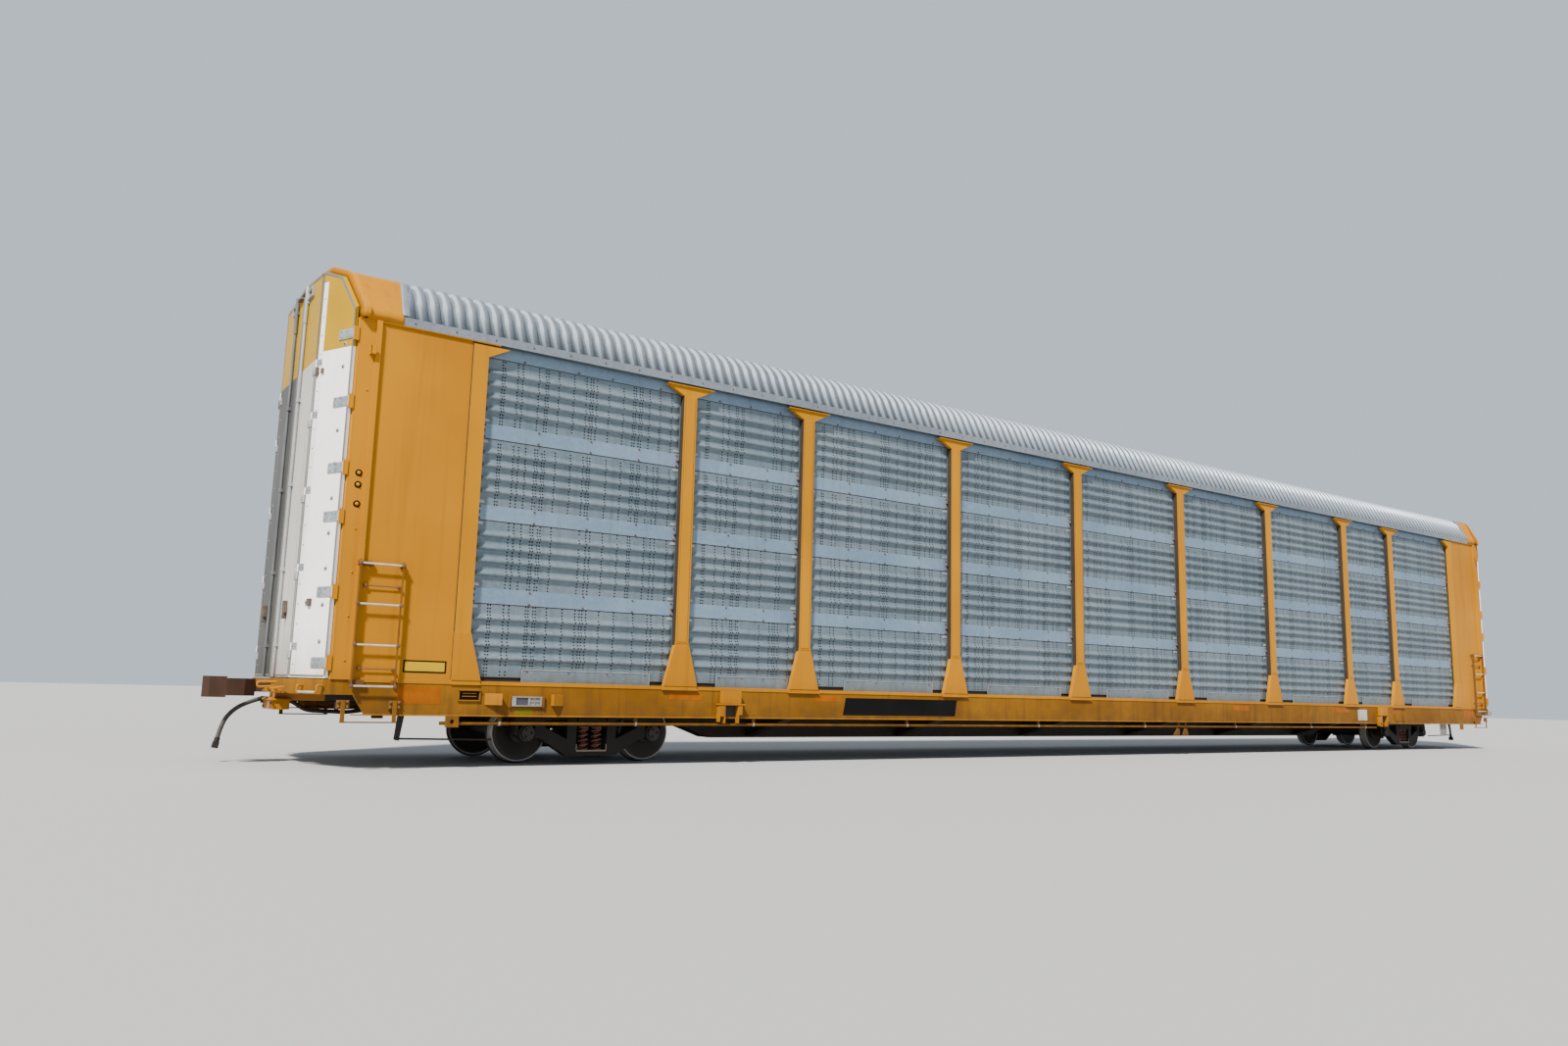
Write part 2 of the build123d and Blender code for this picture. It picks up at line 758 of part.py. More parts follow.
for end_name, end in ENDS:
    for side_name, side in SIDES:
        name = f"door_outer_{end_name}_{side_name}"
        with BuildPart() as outer_leaf:
            with BuildSketch(Plane.XY.offset(door_bottom_z)):
                with BuildLine():
                    Polyline(*signed(outer_plan, end, side), close=True)
                make_face()
            extrude(amount=crown_z - door_bottom_z)
            add(door_arch.part, mode=Mode.INTERSECT)
            for z in hinge_heights:
                with BuildSketch(Plane.XY.offset(z - hinge_height / 2)):
                    strap = [
                        leaf_point(hinge_pin_radius + pin_clearance, 0),
                        leaf_point(hinge_pin_radius + pin_clearance, -hinge_plate),
                        leaf_point(hinge_strap, -hinge_plate),
                        leaf_point(hinge_strap, 0),
                    ]
                    with BuildLine():
                        Polyline(*signed(strap, end, side), close=True)
                    make_face()
                extrude(amount=hinge_height)
            for z in fold_hinge_heights:
                with BuildSketch(Plane.XY.offset(z + strap_gap / 2)):
                    plate = [
                        leaf_point(leaf_length, 0),
                        leaf_point(leaf_length, -fold_plate),
                        leaf_point(leaf_length - fold_plate_width, -fold_plate),
                        leaf_point(leaf_length - fold_plate_width, 0),
                    ]
                    with BuildLine():
                        Polyline(*signed(plate, end, side), close=True)
                    make_face()
                    with Locations((end * fold_x, side * fold_y)):
                        Circle(fold_barrel_radius)
                extrude(amount=fold_plate_height)
        outer_leaf.part.label = name
        export_step(outer_leaf.part, f"parts/{name}.step")

        name = f"door_inner_{end_name}_{side_name}"
        with BuildPart() as inner_leaf:
            with BuildSketch(Plane.XY.offset(door_bottom_z)):
                with BuildLine():
                    Polyline(*signed(inner_plan, end, side), close=True)
                make_face()
            extrude(amount=crown_z - door_bottom_z)
            add(door_arch.part, mode=Mode.INTERSECT)
            for z in fold_hinge_heights:
                with BuildSketch(Plane.XY.offset(z - strap_gap / 2)):
                    plate = [
                        (fold_x, fold_y),
                        (fold_x + fold_plate, fold_y),
                        (fold_x + fold_plate, fold_y - fold_plate_width),
                        (fold_x, fold_y - fold_plate_width),
                    ]
                    with BuildLine():
                        Polyline(*signed(plate, end, side), close=True)
                    make_face()
                    with Locations((end * fold_x, side * fold_y)):
                        Circle(fold_barrel_radius)
                extrude(amount=-fold_plate_height)
        inner_leaf.part.label = name
        export_step(inner_leaf.part, f"parts/{name}.step")

        name = f"lock_rod_{end_name}_{side_name}"
        rod_x = end * (fold_x + lock_rod_gap)
        rod_y = side * lock_rod_offset
        with BuildPart() as lock_rod:
            with BuildSketch(Plane.XY.offset(door_bottom_z)):
                with Locations((rod_x, rod_y)):
                    RegularPolygon(lock_rod_radius, 8)
            extrude(amount=haunch_z - door_bottom_z)
            for z in lock_rod_guide_heights:
                with BuildSketch(Plane.XY.offset(z)):
                    with Locations((rod_x, rod_y)):
                        Rectangle(2 * lock_rod_gap, 90)
                extrude(amount=40)
        lock_rod.part.label = name
        export_step(lock_rod.part, f"parts/{name}.step")

# Ladders: two flat rails and four rungs at each corner of the car, with a sill step below
with BuildPart() as ladders:
    for end in (-1, 1):
        for x in (ladder_inner_x, ladder_outer_x):
            with BuildSketch(Plane.XZ.offset(ladder_face - ladder_rail)):
                with Locations((end * x, (ladder_bottom_z + ladder_top_z) / 2)):
                    Rectangle(ladder_rail_thickness, ladder_top_z - ladder_bottom_z)
            extrude(amount=ladder_rail)
        for rung in range(rung_count):
            rung_z = first_rung_z + rung * rung_pitch
            with BuildSketch(Plane.YZ.offset(end * ladder_inner_x)):
                with Locations((-(ladder_face - ladder_rail / 2), rung_z)):
                    RegularPolygon(rung_radius, 8)
            extrude(amount=end * (ladder_outer_x - ladder_inner_x))
        for bracket_z, bracket_seat in ((ladder_top_z - 40, end_panel_face), (foot_z, sill_face)):
            with BuildSketch(Plane.XZ.offset(bracket_seat)):
                for x in (ladder_inner_x, ladder_outer_x - 2 * corner_rib_width):
                    with Locations((end * x, bracket_z)):
                        Rectangle(50, 50)
            extrude(amount=ladder_face - ladder_rail - bracket_seat)
        with BuildSketch(Plane.XZ.offset(ladder_face - ladder_rail)):
            for bracket_z in (ladder_top_z - 40, foot_z):
                with Locations((end * (ladder_outer_x - corner_rib_width), bracket_z)):
                    Rectangle(2 * corner_rib_width + 50, 50)
        extrude(amount=ladder_strap)
    mirror(about=Plane.XZ)
ladders.part.label = "ladders"
export_step(ladders.part, "parts/ladders.step")

step_inner_x = ladder_inner_x - step_margin
step_outer_x = ladder_outer_x + step_margin
with BuildPart() as sill_steps:
    for end in (-1, 1):
        with BuildSketch(Plane.XZ.offset(sill_face)):
            with BuildLine():
                Polyline(
                    (end * step_inner_x, step_foot_z),
                    (end * step_inner_x, step_drop_z),
                    (end * step_outer_x, step_drop_z),
                    (end * step_outer_x, step_foot_z),
                    (end * (step_outer_x - step_bar), step_foot_z),
                    (end * (step_outer_x - step_bar), step_drop_z + step_bar),
                    (end * (step_inner_x + step_bar), step_drop_z + step_bar),
                    (end * (step_inner_x + step_bar), step_foot_z),
                    close=True,
                )
            make_face()
        extrude(amount=step_depth)
    mirror(about=Plane.XZ)
sill_steps.part.label = "sill_steps"
export_step(sill_steps.part, "parts/sill_steps.step")

# Tow eyes and jacking brackets on the side sills
tow_eye_x = sill_half_length - 1095
tow_eye_radius = 24
with BuildPart() as tow_eyes:
    with BuildSketch(Plane.XZ.offset(sill_face - sill_web)):
        for end in (-1, 1):
            with Locations((end * tow_eye_x, sill_bottom_z - 60)):
                Rectangle(150, 120)
                Circle(tow_eye_radius, mode=Mode.SUBTRACT)
    extrude(amount=20)
    mirror(about=Plane.XZ)
tow_eyes.part.label = "tow_eyes"
export_step(tow_eyes.part, "parts/tow_eyes.step")

jack_x = truck_x - 1745
jack_half_width = 160
with BuildPart() as jack_pads:
    for end in (-1, 1):
        with BuildSketch(Plane.XZ.offset(sill_face)):
            with BuildLine():
                Polyline(
                    (end * jack_x - jack_half_width, sill_bottom_z - 40),
                    (end * jack_x - jack_half_width + 40, foot_z - 10),
                    (end * jack_x + jack_half_width - 40, foot_z - 10),
                    (end * jack_x + jack_half_width, sill_bottom_z - 40),
                    close=True,
                )
            make_face()
        extrude(amount=70)
    mirror(about=Plane.XZ)
jack_pads.part.label = "jack_pads"
export_step(jack_pads.part, "parts/jack_pads.step")

# Long pipe under the near side sill, hung from clamps
pipe_start = 970 - sill_half_length
pipe_length = 20240
clamp_distances = (690, 2440, 4190, 6890, 9690, 12390, 15090, 17690, 19790)
with BuildPart() as side_pipe:
    with BuildSketch(Plane.YZ.offset(pipe_start)):
        with Locations((-(sill_face - pipe_inset), pipe_z)):
            Circle(pipe_radius)
    extrude(amount=pipe_length)
    for distance in clamp_distances:
        with BuildSketch(Plane.XY.offset(pipe_z)):
            with Locations((pipe_start + distance, -(sill_face - pipe_inset))):
                Rectangle(50, 12)
        extrude(amount=sill_bottom_z - pipe_z)
side_pipe.part.label = "side_pipe"
export_step(side_pipe.part, "parts/side_pipe.step")

# Brake gear under the floor: air reservoir, control valve and cylinder
with BuildPart() as brake_gear:
    with BuildSketch(Plane.YZ.offset(-900)):
        with Locations((620, 640)):
            Circle(190)
    extrude(amount=1500)
    with BuildSketch(Plane.XY.offset(700)):
        with Locations((-600, 620), (300, 620)):
            Rectangle(60, 120)
    extrude(amount=deck_under_z - 700)
brake_gear.part.label = "brake_gear"
export_step(brake_gear.part, "parts/brake_gear.step")

# Hand brake wheel on the far side of the brake end
hand_brake_x = 660 - sill_half_length
hand_brake_z = 1500
with BuildPart() as hand_brake:
    with BuildSketch(Plane.XZ.offset(-(end_panel_face + 90))):
        with Locations((hand_brake_x, hand_brake_z)):
            Circle(250)
            Circle(228, mode=Mode.SUBTRACT)
            Rectangle(470, 36)
            Rectangle(36, 470)
            Circle(50)
    extrude(amount=-22)
    with BuildSketch(Plane.XZ.offset(-end_panel_face)):
        with Locations((hand_brake_x, hand_brake_z)):
            Rectangle(220, 300)
    extrude(amount=-60)
    with BuildSketch(Plane.XZ.offset(-end_panel_face)):
        with Locations((hand_brake_x, hand_brake_z)):
            Circle(30)
    extrude(amount=-100)
hand_brake.part.label = "hand_brake"
export_step(hand_brake.part, "parts/hand_brake.step")

# Trucks, couplers and hoses, one set at each end
frame_inner = bearing_offset - frame_thickness / 2
side_frame_half = [
    (0, frame_bottom_z),
    (330, frame_bottom_z),
    (wheelbase / 2 - 190, 300),
    (wheelbase / 2 - bearing_radius - jaw_clearance, 320),
    (wheelbase / 2 - bearing_radius - jaw_clearance, axle_z + bearing_radius + adapter_thickness),
    (wheelbase / 2 + bearing_radius + jaw_clearance, axle_z + bearing_radius + adapter_thickness),
    (wheelbase / 2 + bearing_radius + jaw_clearance, 330),
    (wheelbase / 2 + bearing_radius + 60, 360),
    (wheelbase / 2 + bearing_radius + 40, 560),
    (wheelbase / 2, 600),
    (450, frame_top_z),
    (0, frame_top_z),
]
side_frame_line = side_frame_half + [(-x, z) for x, z in reversed(side_frame_half[1:-1])]
window_bottom_z = frame_bottom_z + spring_seat_thickness
window_top_z = bolster_top_z - 55
wheel_profile = [
    (0, wheel_back_gap / 2),
    (axle_z - 8, wheel_back_gap / 2),
    (axle_z, wheel_back_gap / 2 + flange_width / 3),
    (wheel_radius, wheel_back_gap / 2 + flange_width),
    (wheel_radius - 5, wheel_back_gap / 2 + wheel_rim_width),
    (wheel_radius - rim_depth, wheel_back_gap / 2 + wheel_rim_width),
    (hub_radius, wheel_back_gap / 2 + wheel_rim_width - wheel_web_dish),
    (hub_radius, wheel_back_gap / 2 + wheel_rim_width),
    (0, wheel_back_gap / 2 + wheel_rim_width),
]
axle_end = bearing_offset + bearing_length / 2

for end_name, end in ENDS:
    centre_x = end * truck_x

    name = f"side_frames_{end_name}"
    with BuildPart() as side_frames:
        with BuildSketch(Plane.XZ.offset(frame_inner)):
            with BuildLine():
                Polyline(*[(centre_x + x, z) for x, z in side_frame_line], close=True)
            make_face()
            with Locations((centre_x, (window_bottom_z + window_top_z) / 2)):
                Rectangle(2 * window_half_width, window_top_z - window_bottom_z, mode=Mode.SUBTRACT)
            for hand in (-1, 1):
                with BuildLine():
                    Polyline(
                        (centre_x + hand * 330, 540),
                        (centre_x + hand * 330, 300),
                        (centre_x + hand * 620, 440),
                        (centre_x + hand * 620, 520),
                        close=True,
                    )
                make_face(mode=Mode.SUBTRACT)
        extrude(amount=frame_thickness)
        mirror(about=Plane.XZ)
    side_frames.part.label = name
    export_step(side_frames.part, f"parts/{name}.step")

    name = f"bearing_adapters_{end_name}"
    with BuildPart() as bearing_adapters:
        for hand in (-1, 1):
            with BuildSketch(Plane.XY.offset(axle_z + bearing_radius + adapter_gap)):
                with Locations((centre_x + hand * wheelbase / 2, -bearing_offset)):
                    Rectangle(150, frame_thickness + 20)
            extrude(amount=adapter_thickness - adapter_gap)
        mirror(about=Plane.XZ)
    bearing_adapters.part.label = name
    export_step(bearing_adapters.part, f"parts/{name}.step")

    name = f"truck_bolster_{end_name}"
    with BuildPart() as truck_bolster:
        with BuildSketch(Plane.YZ.offset(centre_x - bolster_half_width)):
            with BuildLine():
                Polyline(
                    (-frame_inner - frame_thickness, window_top_z),
                    (-frame_inner, window_top_z),
                    (-side_bearing_offset - 100, bolster_top_z),
                    (side_bearing_offset + 100, bolster_top_z),
                    (frame_inner, window_top_z),
                    (frame_inner + frame_thickness, window_top_z),
                    (frame_inner + frame_thickness, window_top_z - bolster_depth + 20),
                    (frame_inner - 60, window_top_z - bolster_depth + 20),
                    (400, bolster_top_z - 260),
                    (-400, bolster_top_z - 260),
                    (-frame_inner + 60, window_top_z - bolster_depth + 20),
                    (-frame_inner - frame_thickness, window_top_z - bolster_depth + 20),
                    close=True,
                )
            make_face()
        extrude(amount=2 * bolster_half_width)
        with BuildSketch(Plane.XY.offset(bolster_top_z)):
            with Locations((centre_x, 0)):
                Circle(centre_bowl_radius)
        extrude(amount=centre_plate_z - bolster_top_z)
        with BuildSketch(Plane.XY.offset(bolster_top_z)):
            for side in (-1, 1):
                with Locations((centre_x, side * side_bearing_offset)):
                    Rectangle(240, 90)
        extrude(amount=centre_sill_shallow_z - 6 - bolster_top_z)
    truck_bolster.part.label = name
    export_step(truck_bolster.part, f"parts/{name}.step")

    name = f"brake_beams_{end_name}"
    with BuildPart() as brake_beams:
        for hand in (-1, 1):
            beam_x = centre_x + hand * (wheelbase / 2 - wheel_radius - shoe_gap - shoe_depth)
            with BuildSketch(Plane.XZ.offset(-frame_inner)):
                with Locations((beam_x - hand * beam_width / 2, beam_z)):
                    Rectangle(beam_width, beam_height)
            extrude(amount=2 * frame_inner)
            for side in (-1, 1):
                with BuildSketch(Plane.XZ.offset(side * (wheel_back_gap / 2 + flange_width + 12))):
                    with Locations((beam_x, beam_z)):
                        Rectangle(2 * shoe_depth, shoe_height)
                    with Locations((centre_x + hand * wheelbase / 2, axle_z)):
                        Circle(wheel_radius + shoe_gap, mode=Mode.SUBTRACT)
                extrude(amount=side * shoe_width)
    brake_beams.part.label = name
    export_step(brake_beams.part, f"parts/{name}.step")

    name = f"springs_{end_name}"
    spring_top_z = window_top_z - bolster_depth + 20
    with BuildPart() as springs:
        with BuildSketch(Plane.XY.offset(window_bottom_z)):
            for side in (-1, 1):
                for hand in (-0.5, 0.5):
                    with Locations((centre_x + hand * spring_pitch, side * bearing_offset)):
                        Circle(spring_radius)
        extrude(amount=spring_top_z - window_bottom_z)
    springs.part.label = name
    export_step(springs.part, f"parts/{name}.step")

    for number, hand in ((1, -1), (2, 1)):
        name = f"wheelset_{end_name}{number}"
        wheel_x = centre_x + hand * wheelbase / 2
        with BuildPart() as wheelset:
            with BuildSketch(Plane.XY.offset(axle_z)):
                with BuildLine():
                    Polyline(*[(wheel_x + r, y) for r, y in wheel_profile], close=True)
                make_face()
            revolve(axis=Axis((wheel_x, 0, axle_z), (0, 1, 0)))
            mirror(about=Plane.XZ)
            for radius, half_length in (
                (axle_radius, wheel_back_gap / 2),
                (journal_radius, bearing_offset + bearing_length / 2),
            ):
                with BuildSketch(Plane.XZ):
                    with Locations((wheel_x, axle_z)):
                        Circle(radius)
                extrude(amount=half_length, both=True)
            for side in (-1, 1):
                with BuildSketch(Plane.XZ.offset(side * (bearing_offset - bearing_length / 2))):
                    with Locations((wheel_x, axle_z)):
                        Circle(bearing_radius)
                extrude(amount=side * bearing_length)
                with BuildSketch(Plane.XZ.offset(side * axle_end)):
                    with Locations((wheel_x, axle_z)):
                        Circle(end_cap_radius)
                extrude(amount=side * end_cap_length)
        wheelset.part.label = name
        export_step(wheelset.part, f"parts/{name}.step")

    name = f"coupler_{end_name}"
    with BuildPart() as coupler:
        with BuildSketch(Plane.XY.offset(coupler_z - shank_half_height)):
            with Locations((end * (coupler_pin_x - 90), 0)):
                Rectangle(
                    coupler_head_x - coupler_pin_x + 90,
                    2 * shank_half_width,
                    align=(Align.MIN if end > 0 else Align.MAX, Align.CENTER),
                )
            with Locations((end * coupler_pin_x, 0)):
                Circle(coupler_pin_radius + coupler_swing_gap, mode=Mode.SUBTRACT)
        extrude(amount=2 * shank_half_height)
        with BuildSketch(Plane.XY.offset(coupler_z - head_half_height)):
            head = [
                (coupler_head_x, 70),
                (coupler_head_x + 120, 150),
                (coupler_face_x - 230, 175),
                (coupler_face_x - 230, 10),
                (coupler_face_x - 170, -90),
                (coupler_face_x - 40, -160),
                (coupler_face_x - 60, -200),
                (coupler_face_x - 260, -170),
                (coupler_head_x + 80, -110),
                (coupler_head_x, -70),
            ]
            with BuildLine():
                Polyline(*signed(head, end, end), close=True)
            make_face()
        extrude(amount=2 * head_half_height)
        with BuildSketch(Plane.XY.offset(coupler_z - knuckle_half_height)):
            knuckle = [
                (coupler_face_x - 230, 175),
                (coupler_face_x - 60, 165),
                (coupler_face_x, 110),
                (coupler_face_x, 60),
                (coupler_face_x - 60, 25),
                (coupler_face_x - 110, 40),
                (coupler_face_x - 150, 10),
                (coupler_face_x - 230, 10),
            ]
            with BuildLine():
                Polyline(*signed(knuckle, end, end), close=True)
            make_face()
            nose = vertices().sort_by(Axis.X, reverse=end < 0)[-2:]
            fillet(nose, knuckle_nose_radius)
        extrude(amount=2 * knuckle_half_height)
    coupler.part.label = name
    export_step(coupler.part, f"parts/{name}.step")

    # Air hose: hangs from the angle cock beside the coupler
    hose_side = -end
    hose_points = [
        (end * hose_start_x, hose_side * train_pipe_y, train_pipe_z),
        (end * (hose_start_x + hose_drop[0]), hose_side * train_pipe_y, train_pipe_z - hose_drop[1]),
        (end * (hose_start_x + 270), hose_side * (train_pipe_y - 8), train_pipe_z - 140),
        (end * (hose_start_x + 355), hose_side * (train_pipe_y - 16), train_pipe_z - 275),
        (end * (hose_start_x + 385), hose_side * (train_pipe_y - 24), train_pipe_z - 430),
    ]
    runs = [Vector(*b) - Vector(*a) for a, b in zip(hose_points, hose_points[1:])]
    bend_radii = [
        0.45 * min(r0.length, r1.length) / tan(radians(r0.get_angle(r1)) / 2)
        for r0, r1 in zip(runs, runs[1:])
    ]
    print("hose radii", [round(r) for r in bend_radii])
    name = f"air_hose_{end_name}"
    with BuildPart() as air_hose:
        with BuildLine() as hose_path:
            FilletPolyline(*hose_points, radius=bend_radii)
        with BuildSketch(Plane(origin=hose_points[0], z_dir=runs[0])) as hose_section:
            Circle(hose_radius)
        sweep(sections=hose_section.sketch, path=hose_path.line)
    air_hose.part.label = name
    export_step(air_hose.part, f"parts/{name}.step")
    hose_length = sum(edge.length for edge in hose_path.edges())
    print(name, round(hose_length), round(air_hose.part.volume / (pi * hose_radius**2)))

    name = f"glad_hand_{end_name}"
    hose_end = Plane(origin=hose_points[-1], x_dir=(0, 1, 0), z_dir=runs[-1])
    with BuildPart() as glad_hand:
        with BuildSketch(hose_end):
            Circle(30)
        extrude(amount=50)
        with BuildSketch(hose_end.offset(50)):
            Rectangle(90, 60)
        extrude(amount=70)
    glad_hand.part.label = name
    export_step(glad_hand.part, f"parts/{name}.step")

# Train pipe ends: a pipe beside the draft sill, its brackets and the angle cock for the hose
with BuildPart() as angle_cocks:
    for end in (-1, 1):
        with BuildSketch(Plane.YZ.offset(end * sill_inner_end)):
            with Locations((-end * train_pipe_y, train_pipe_z)):
                Circle(pipe_radius)
        extrude(amount=end * (angle_cock_x - sill_inner_end))
        with BuildSketch(Plane.YZ.offset(end * angle_cock_x)):
            with Locations((-end * train_pipe_y, train_pipe_z)):
                Circle(2 * pipe_radius)
        extrude(amount=end * 60)
        nipple_plane = Plane(
            origin=(end * hose_start_x, -end * train_pipe_y, train_pipe_z),
            x_dir=(0, 1, 0),
            z_dir=(end * hose_drop[0], 0, -hose_drop[1]),
        )
        with BuildSketch(nipple_plane):
            Circle(hose_radius)
        extrude(amount=-60)
        for x in (sill_inner_end + 300, angle_cock_x - 200):
            with BuildSketch(Plane.YZ.offset(end * x)):
                with Locations((-end * (centre_sill_half_width + train_pipe_y) / 2, train_pipe_z + 30)):
                    Rectangle(train_pipe_y - centre_sill_half_width, 60)
            extrude(amount=end * 30)
angle_cocks.part.label = "angle_cocks"
export_step(angle_cocks.part, "parts/angle_cocks.step")
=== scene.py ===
from math import atan2, cos, pi, radians, sin, tan

import bmesh
import bpy
import numpy as np
from mathutils import Matrix, Vector


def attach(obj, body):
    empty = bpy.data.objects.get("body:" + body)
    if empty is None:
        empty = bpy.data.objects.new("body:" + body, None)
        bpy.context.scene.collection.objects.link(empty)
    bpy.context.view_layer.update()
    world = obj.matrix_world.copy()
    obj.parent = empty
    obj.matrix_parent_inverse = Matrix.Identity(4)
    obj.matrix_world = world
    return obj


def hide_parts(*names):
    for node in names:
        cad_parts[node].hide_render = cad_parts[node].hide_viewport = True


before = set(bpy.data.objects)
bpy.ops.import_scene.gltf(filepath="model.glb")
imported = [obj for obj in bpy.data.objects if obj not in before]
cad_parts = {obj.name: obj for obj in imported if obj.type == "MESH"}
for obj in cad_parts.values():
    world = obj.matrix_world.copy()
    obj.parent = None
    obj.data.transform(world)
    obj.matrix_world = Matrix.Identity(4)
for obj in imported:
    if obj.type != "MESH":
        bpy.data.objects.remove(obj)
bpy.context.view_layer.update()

# Camera: it stands low beside the track, a little beyond the car's near end, and looks along the car. Its
# lens and its lean are those of the photograph.
def placed(name, data):
    """A new object that shows the given data, put in the scene."""
    made = bpy.data.objects.new(name, data)
    bpy.context.scene.collection.objects.link(made)
    return made


yaw, pitch, roll = radians(35.136), radians(8.600), radians(1.431)
forward = Vector((sin(yaw), cos(yaw), 0.0))
right = Vector((cos(yaw), -sin(yaw), 0.0))
aim = forward * cos(pitch) + Vector((0.0, 0.0, 1.0)) * sin(pitch)
lift = Vector((0.0, 0.0, 1.0)) * cos(pitch) - forward * sin(pitch)
image_right = right * cos(roll) + lift * sin(roll)
image_up = lift * cos(roll) - right * sin(roll)
camera = placed("camera", bpy.data.cameras.new("camera"))
camera.data.lens = 25.61
camera.data.sensor_width = 36.0
camera.data.clip_end = 500.0
axes = Matrix((image_right, image_up, -aim)).transposed().to_4x4()
camera.matrix_world = Matrix.Translation((-16.249, -13.877, 0.936)) @ axes
bpy.context.scene.camera = camera


# Air hoses: a rubber hose hangs from the train pipe at each end of the car. It is black rubber over cord,
# dusty on its upper side, pushed on to a steel nipple, with a cast glad hand at the free end.
def add(tree, kind, inputs=None, **settings):
    """One shader node. Settings are its own options; inputs maps a socket's name or number to a value or
    to the output socket that feeds it."""
    made = tree.nodes.new("ShaderNode" + kind)
    for key, value in settings.items():
        setattr(made, key, value)
    for key, value in (inputs or {}).items():
        if isinstance(value, bpy.types.NodeSocket):
            tree.links.new(value, made.inputs[key])
        else:
            made.inputs[key].default_value = value
    return made


def mixed(tree, share, first, second):
    """Colour that goes from the first to the second while the share goes from 0 to 1."""
    return add(tree, "Mix", {0: share, 6: first, 7: second}, data_type="RGBA").outputs[2]


def ramp(tree, value, low, high, start=0.0, stop=1.0):
    """Share that goes from start to stop while the value goes from low to high."""
    return add(tree, "MapRange", {0: value, 1: low, 2: high, 3: start, 4: stop}).outputs[0]


def product(tree, first, second):
    """Product of two shares."""
    return add(tree, "Math", {0: first, 1: second}, operation="MULTIPLY").outputs[0]


def cloud(tree, place, scale, stretch=(1.0, 1.0, 1.0), detail=3.0):
    """Soft noise of the place; a small stretch along an axis draws the pattern out along it."""
    moved = add(tree, "Mapping", {0: place, 3: stretch}).outputs[0]
    return add(tree, "TexNoise", {"Vector": moved, "Scale": scale, "Detail": detail}).outputs[0]


def weathered(name, clean, faded, grime, rough, metal=0.0, patch=0.5, runs=0.35, splash=(0.4, 1.1),
              grain=0.15, spangle=0.0, gloss=0.5):
    """Coated or bare metal outdoors. The tone drifts from clean to faded in soft clouds, grime follows thin
    upright runs, and road dirt lies as a share that falls with height. Spangle is the strength of the zinc
    crystals, which are cells a few centimetres wide."""
    material = bpy.data.materials.new(name)
    material.use_nodes = True
    tree = material.node_tree
    shader = tree.nodes["Principled BSDF"]
    place = add(tree, "TexCoord").outputs["Object"]
    soft = cloud(tree, place, patch)
    tone = mixed(tree, ramp(tree, soft, 0.35, 0.65), (*clean, 1.0), (*faded, 1.0))
    if spangle:
        cells = add(tree, "TexVoronoi", {"Vector": place, "Scale": 28.0}).outputs["Color"]
        shine = add(tree, "SeparateXYZ", {0: cells}).outputs[0]
        pale = tuple(min(1.0, 1.5 * c) for c in faded)
        tone = mixed(tree, ramp(tree, shine, 0.0, 1.0, 0.0, spangle), tone, (*pale, 1.0))
    thin = cloud(tree, place, 2.4, (5.0, 5.0, 0.22), 4.0)
    tone = mixed(tree, ramp(tree, thin, 0.52, 0.80, 0.0, runs), tone, (*grime, 1.0))
    height = add(tree, "SeparateXYZ", {0: place}).outputs[2]
    low = product(tree, ramp(tree, height, *splash, 1.1, 0.0), cloud(tree, place, 6.0))
    tone = mixed(tree, low, tone, (*grime, 1.0))
    fine = cloud(tree, place, 110.0, detail=2.0)
    bump = add(tree, "Bump", {"Height": fine, "Strength": grain, "Distance": 0.002}).outputs[0]
    tree.links.new(tone, shader.inputs["Base Color"])
    tree.links.new(ramp(tree, soft, 0.3, 0.7, rough - 0.06, rough + 0.06), shader.inputs["Roughness"])
    tree.links.new(bump, shader.inputs["Normal"])
    shader.inputs["Metallic"].default_value = metal
    shader.inputs["Specular IOR Level"].default_value = gloss
    return material


def dress(material, *names):
    """Gives whole CAD nodes one material."""
    for name in names:
        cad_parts[name].data.materials.clear()
        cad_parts[name].data.materials.append(material)


rubber = weathered("hose_rubber_black", (0.012, 0.012, 0.012), (0.03, 0.029, 0.027), (0.07, 0.06, 0.045),
                   0.62, patch=9.0, runs=0.3, splash=(0.2, 0.9), grain=0.35)
cast = weathered("cast_steel_grimy", (0.005, 0.0045, 0.004), (0.011, 0.009, 0.008), (0.017, 0.013, 0.010),
                 0.7, patch=3.0, runs=0.35, splash=(0.05, 0.5), grain=0.5, gloss=0.3)
ends = ((-1, "b"), (1, "a"))
route = [(13.655, 0.300, 0.700), (13.790, 0.300, 0.655), (13.925, 0.292, 0.560), (14.010, 0.284, 0.425),
         (14.040, 0.276, 0.270)]
for end, letter in ends:
    line = bpy.data.curves.new(f"air_hose_line_{letter}", "CURVE")
    line.dimensions = "3D"
    line.bevel_depth = 0.025
    line.bevel_resolution = 4
    line.resolution_u = 16
    line.use_fill_caps = True
    line.materials.append(rubber)
    spline = line.splines.new("NURBS")
    spline.points.add(len(route) - 1)
    for point, (x, y, z) in zip(spline.points, route):
        point.co = (end * x, -end * y, z, 1.0)
    spline.order_u = 3
    spline.use_endpoint_u = True
    hose = placed(f"air_hose_rubber_{letter}", line)
    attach(hose, "car_body")
    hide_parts(f"air_hose_{letter}")
dress(cast, "glad_hand_b", "glad_hand_a", "angle_cocks")


# Flatcar frame: welded from rolled channels and plate, in ochre enamel where it shows and black under the
# deck. The enamel is sun-faded, with brown dust near the rail, and the draft sills have it at their ends.
def painted_over(material, share, colour):
    """Lays a second colour over the material's own, from none of it to all of it while the share goes from
    0 to 1."""
    tree = material.node_tree
    base = tree.nodes["Principled BSDF"].inputs["Base Color"]
    tree.links.new(mixed(tree, share, base.links[0].from_socket, colour), base)


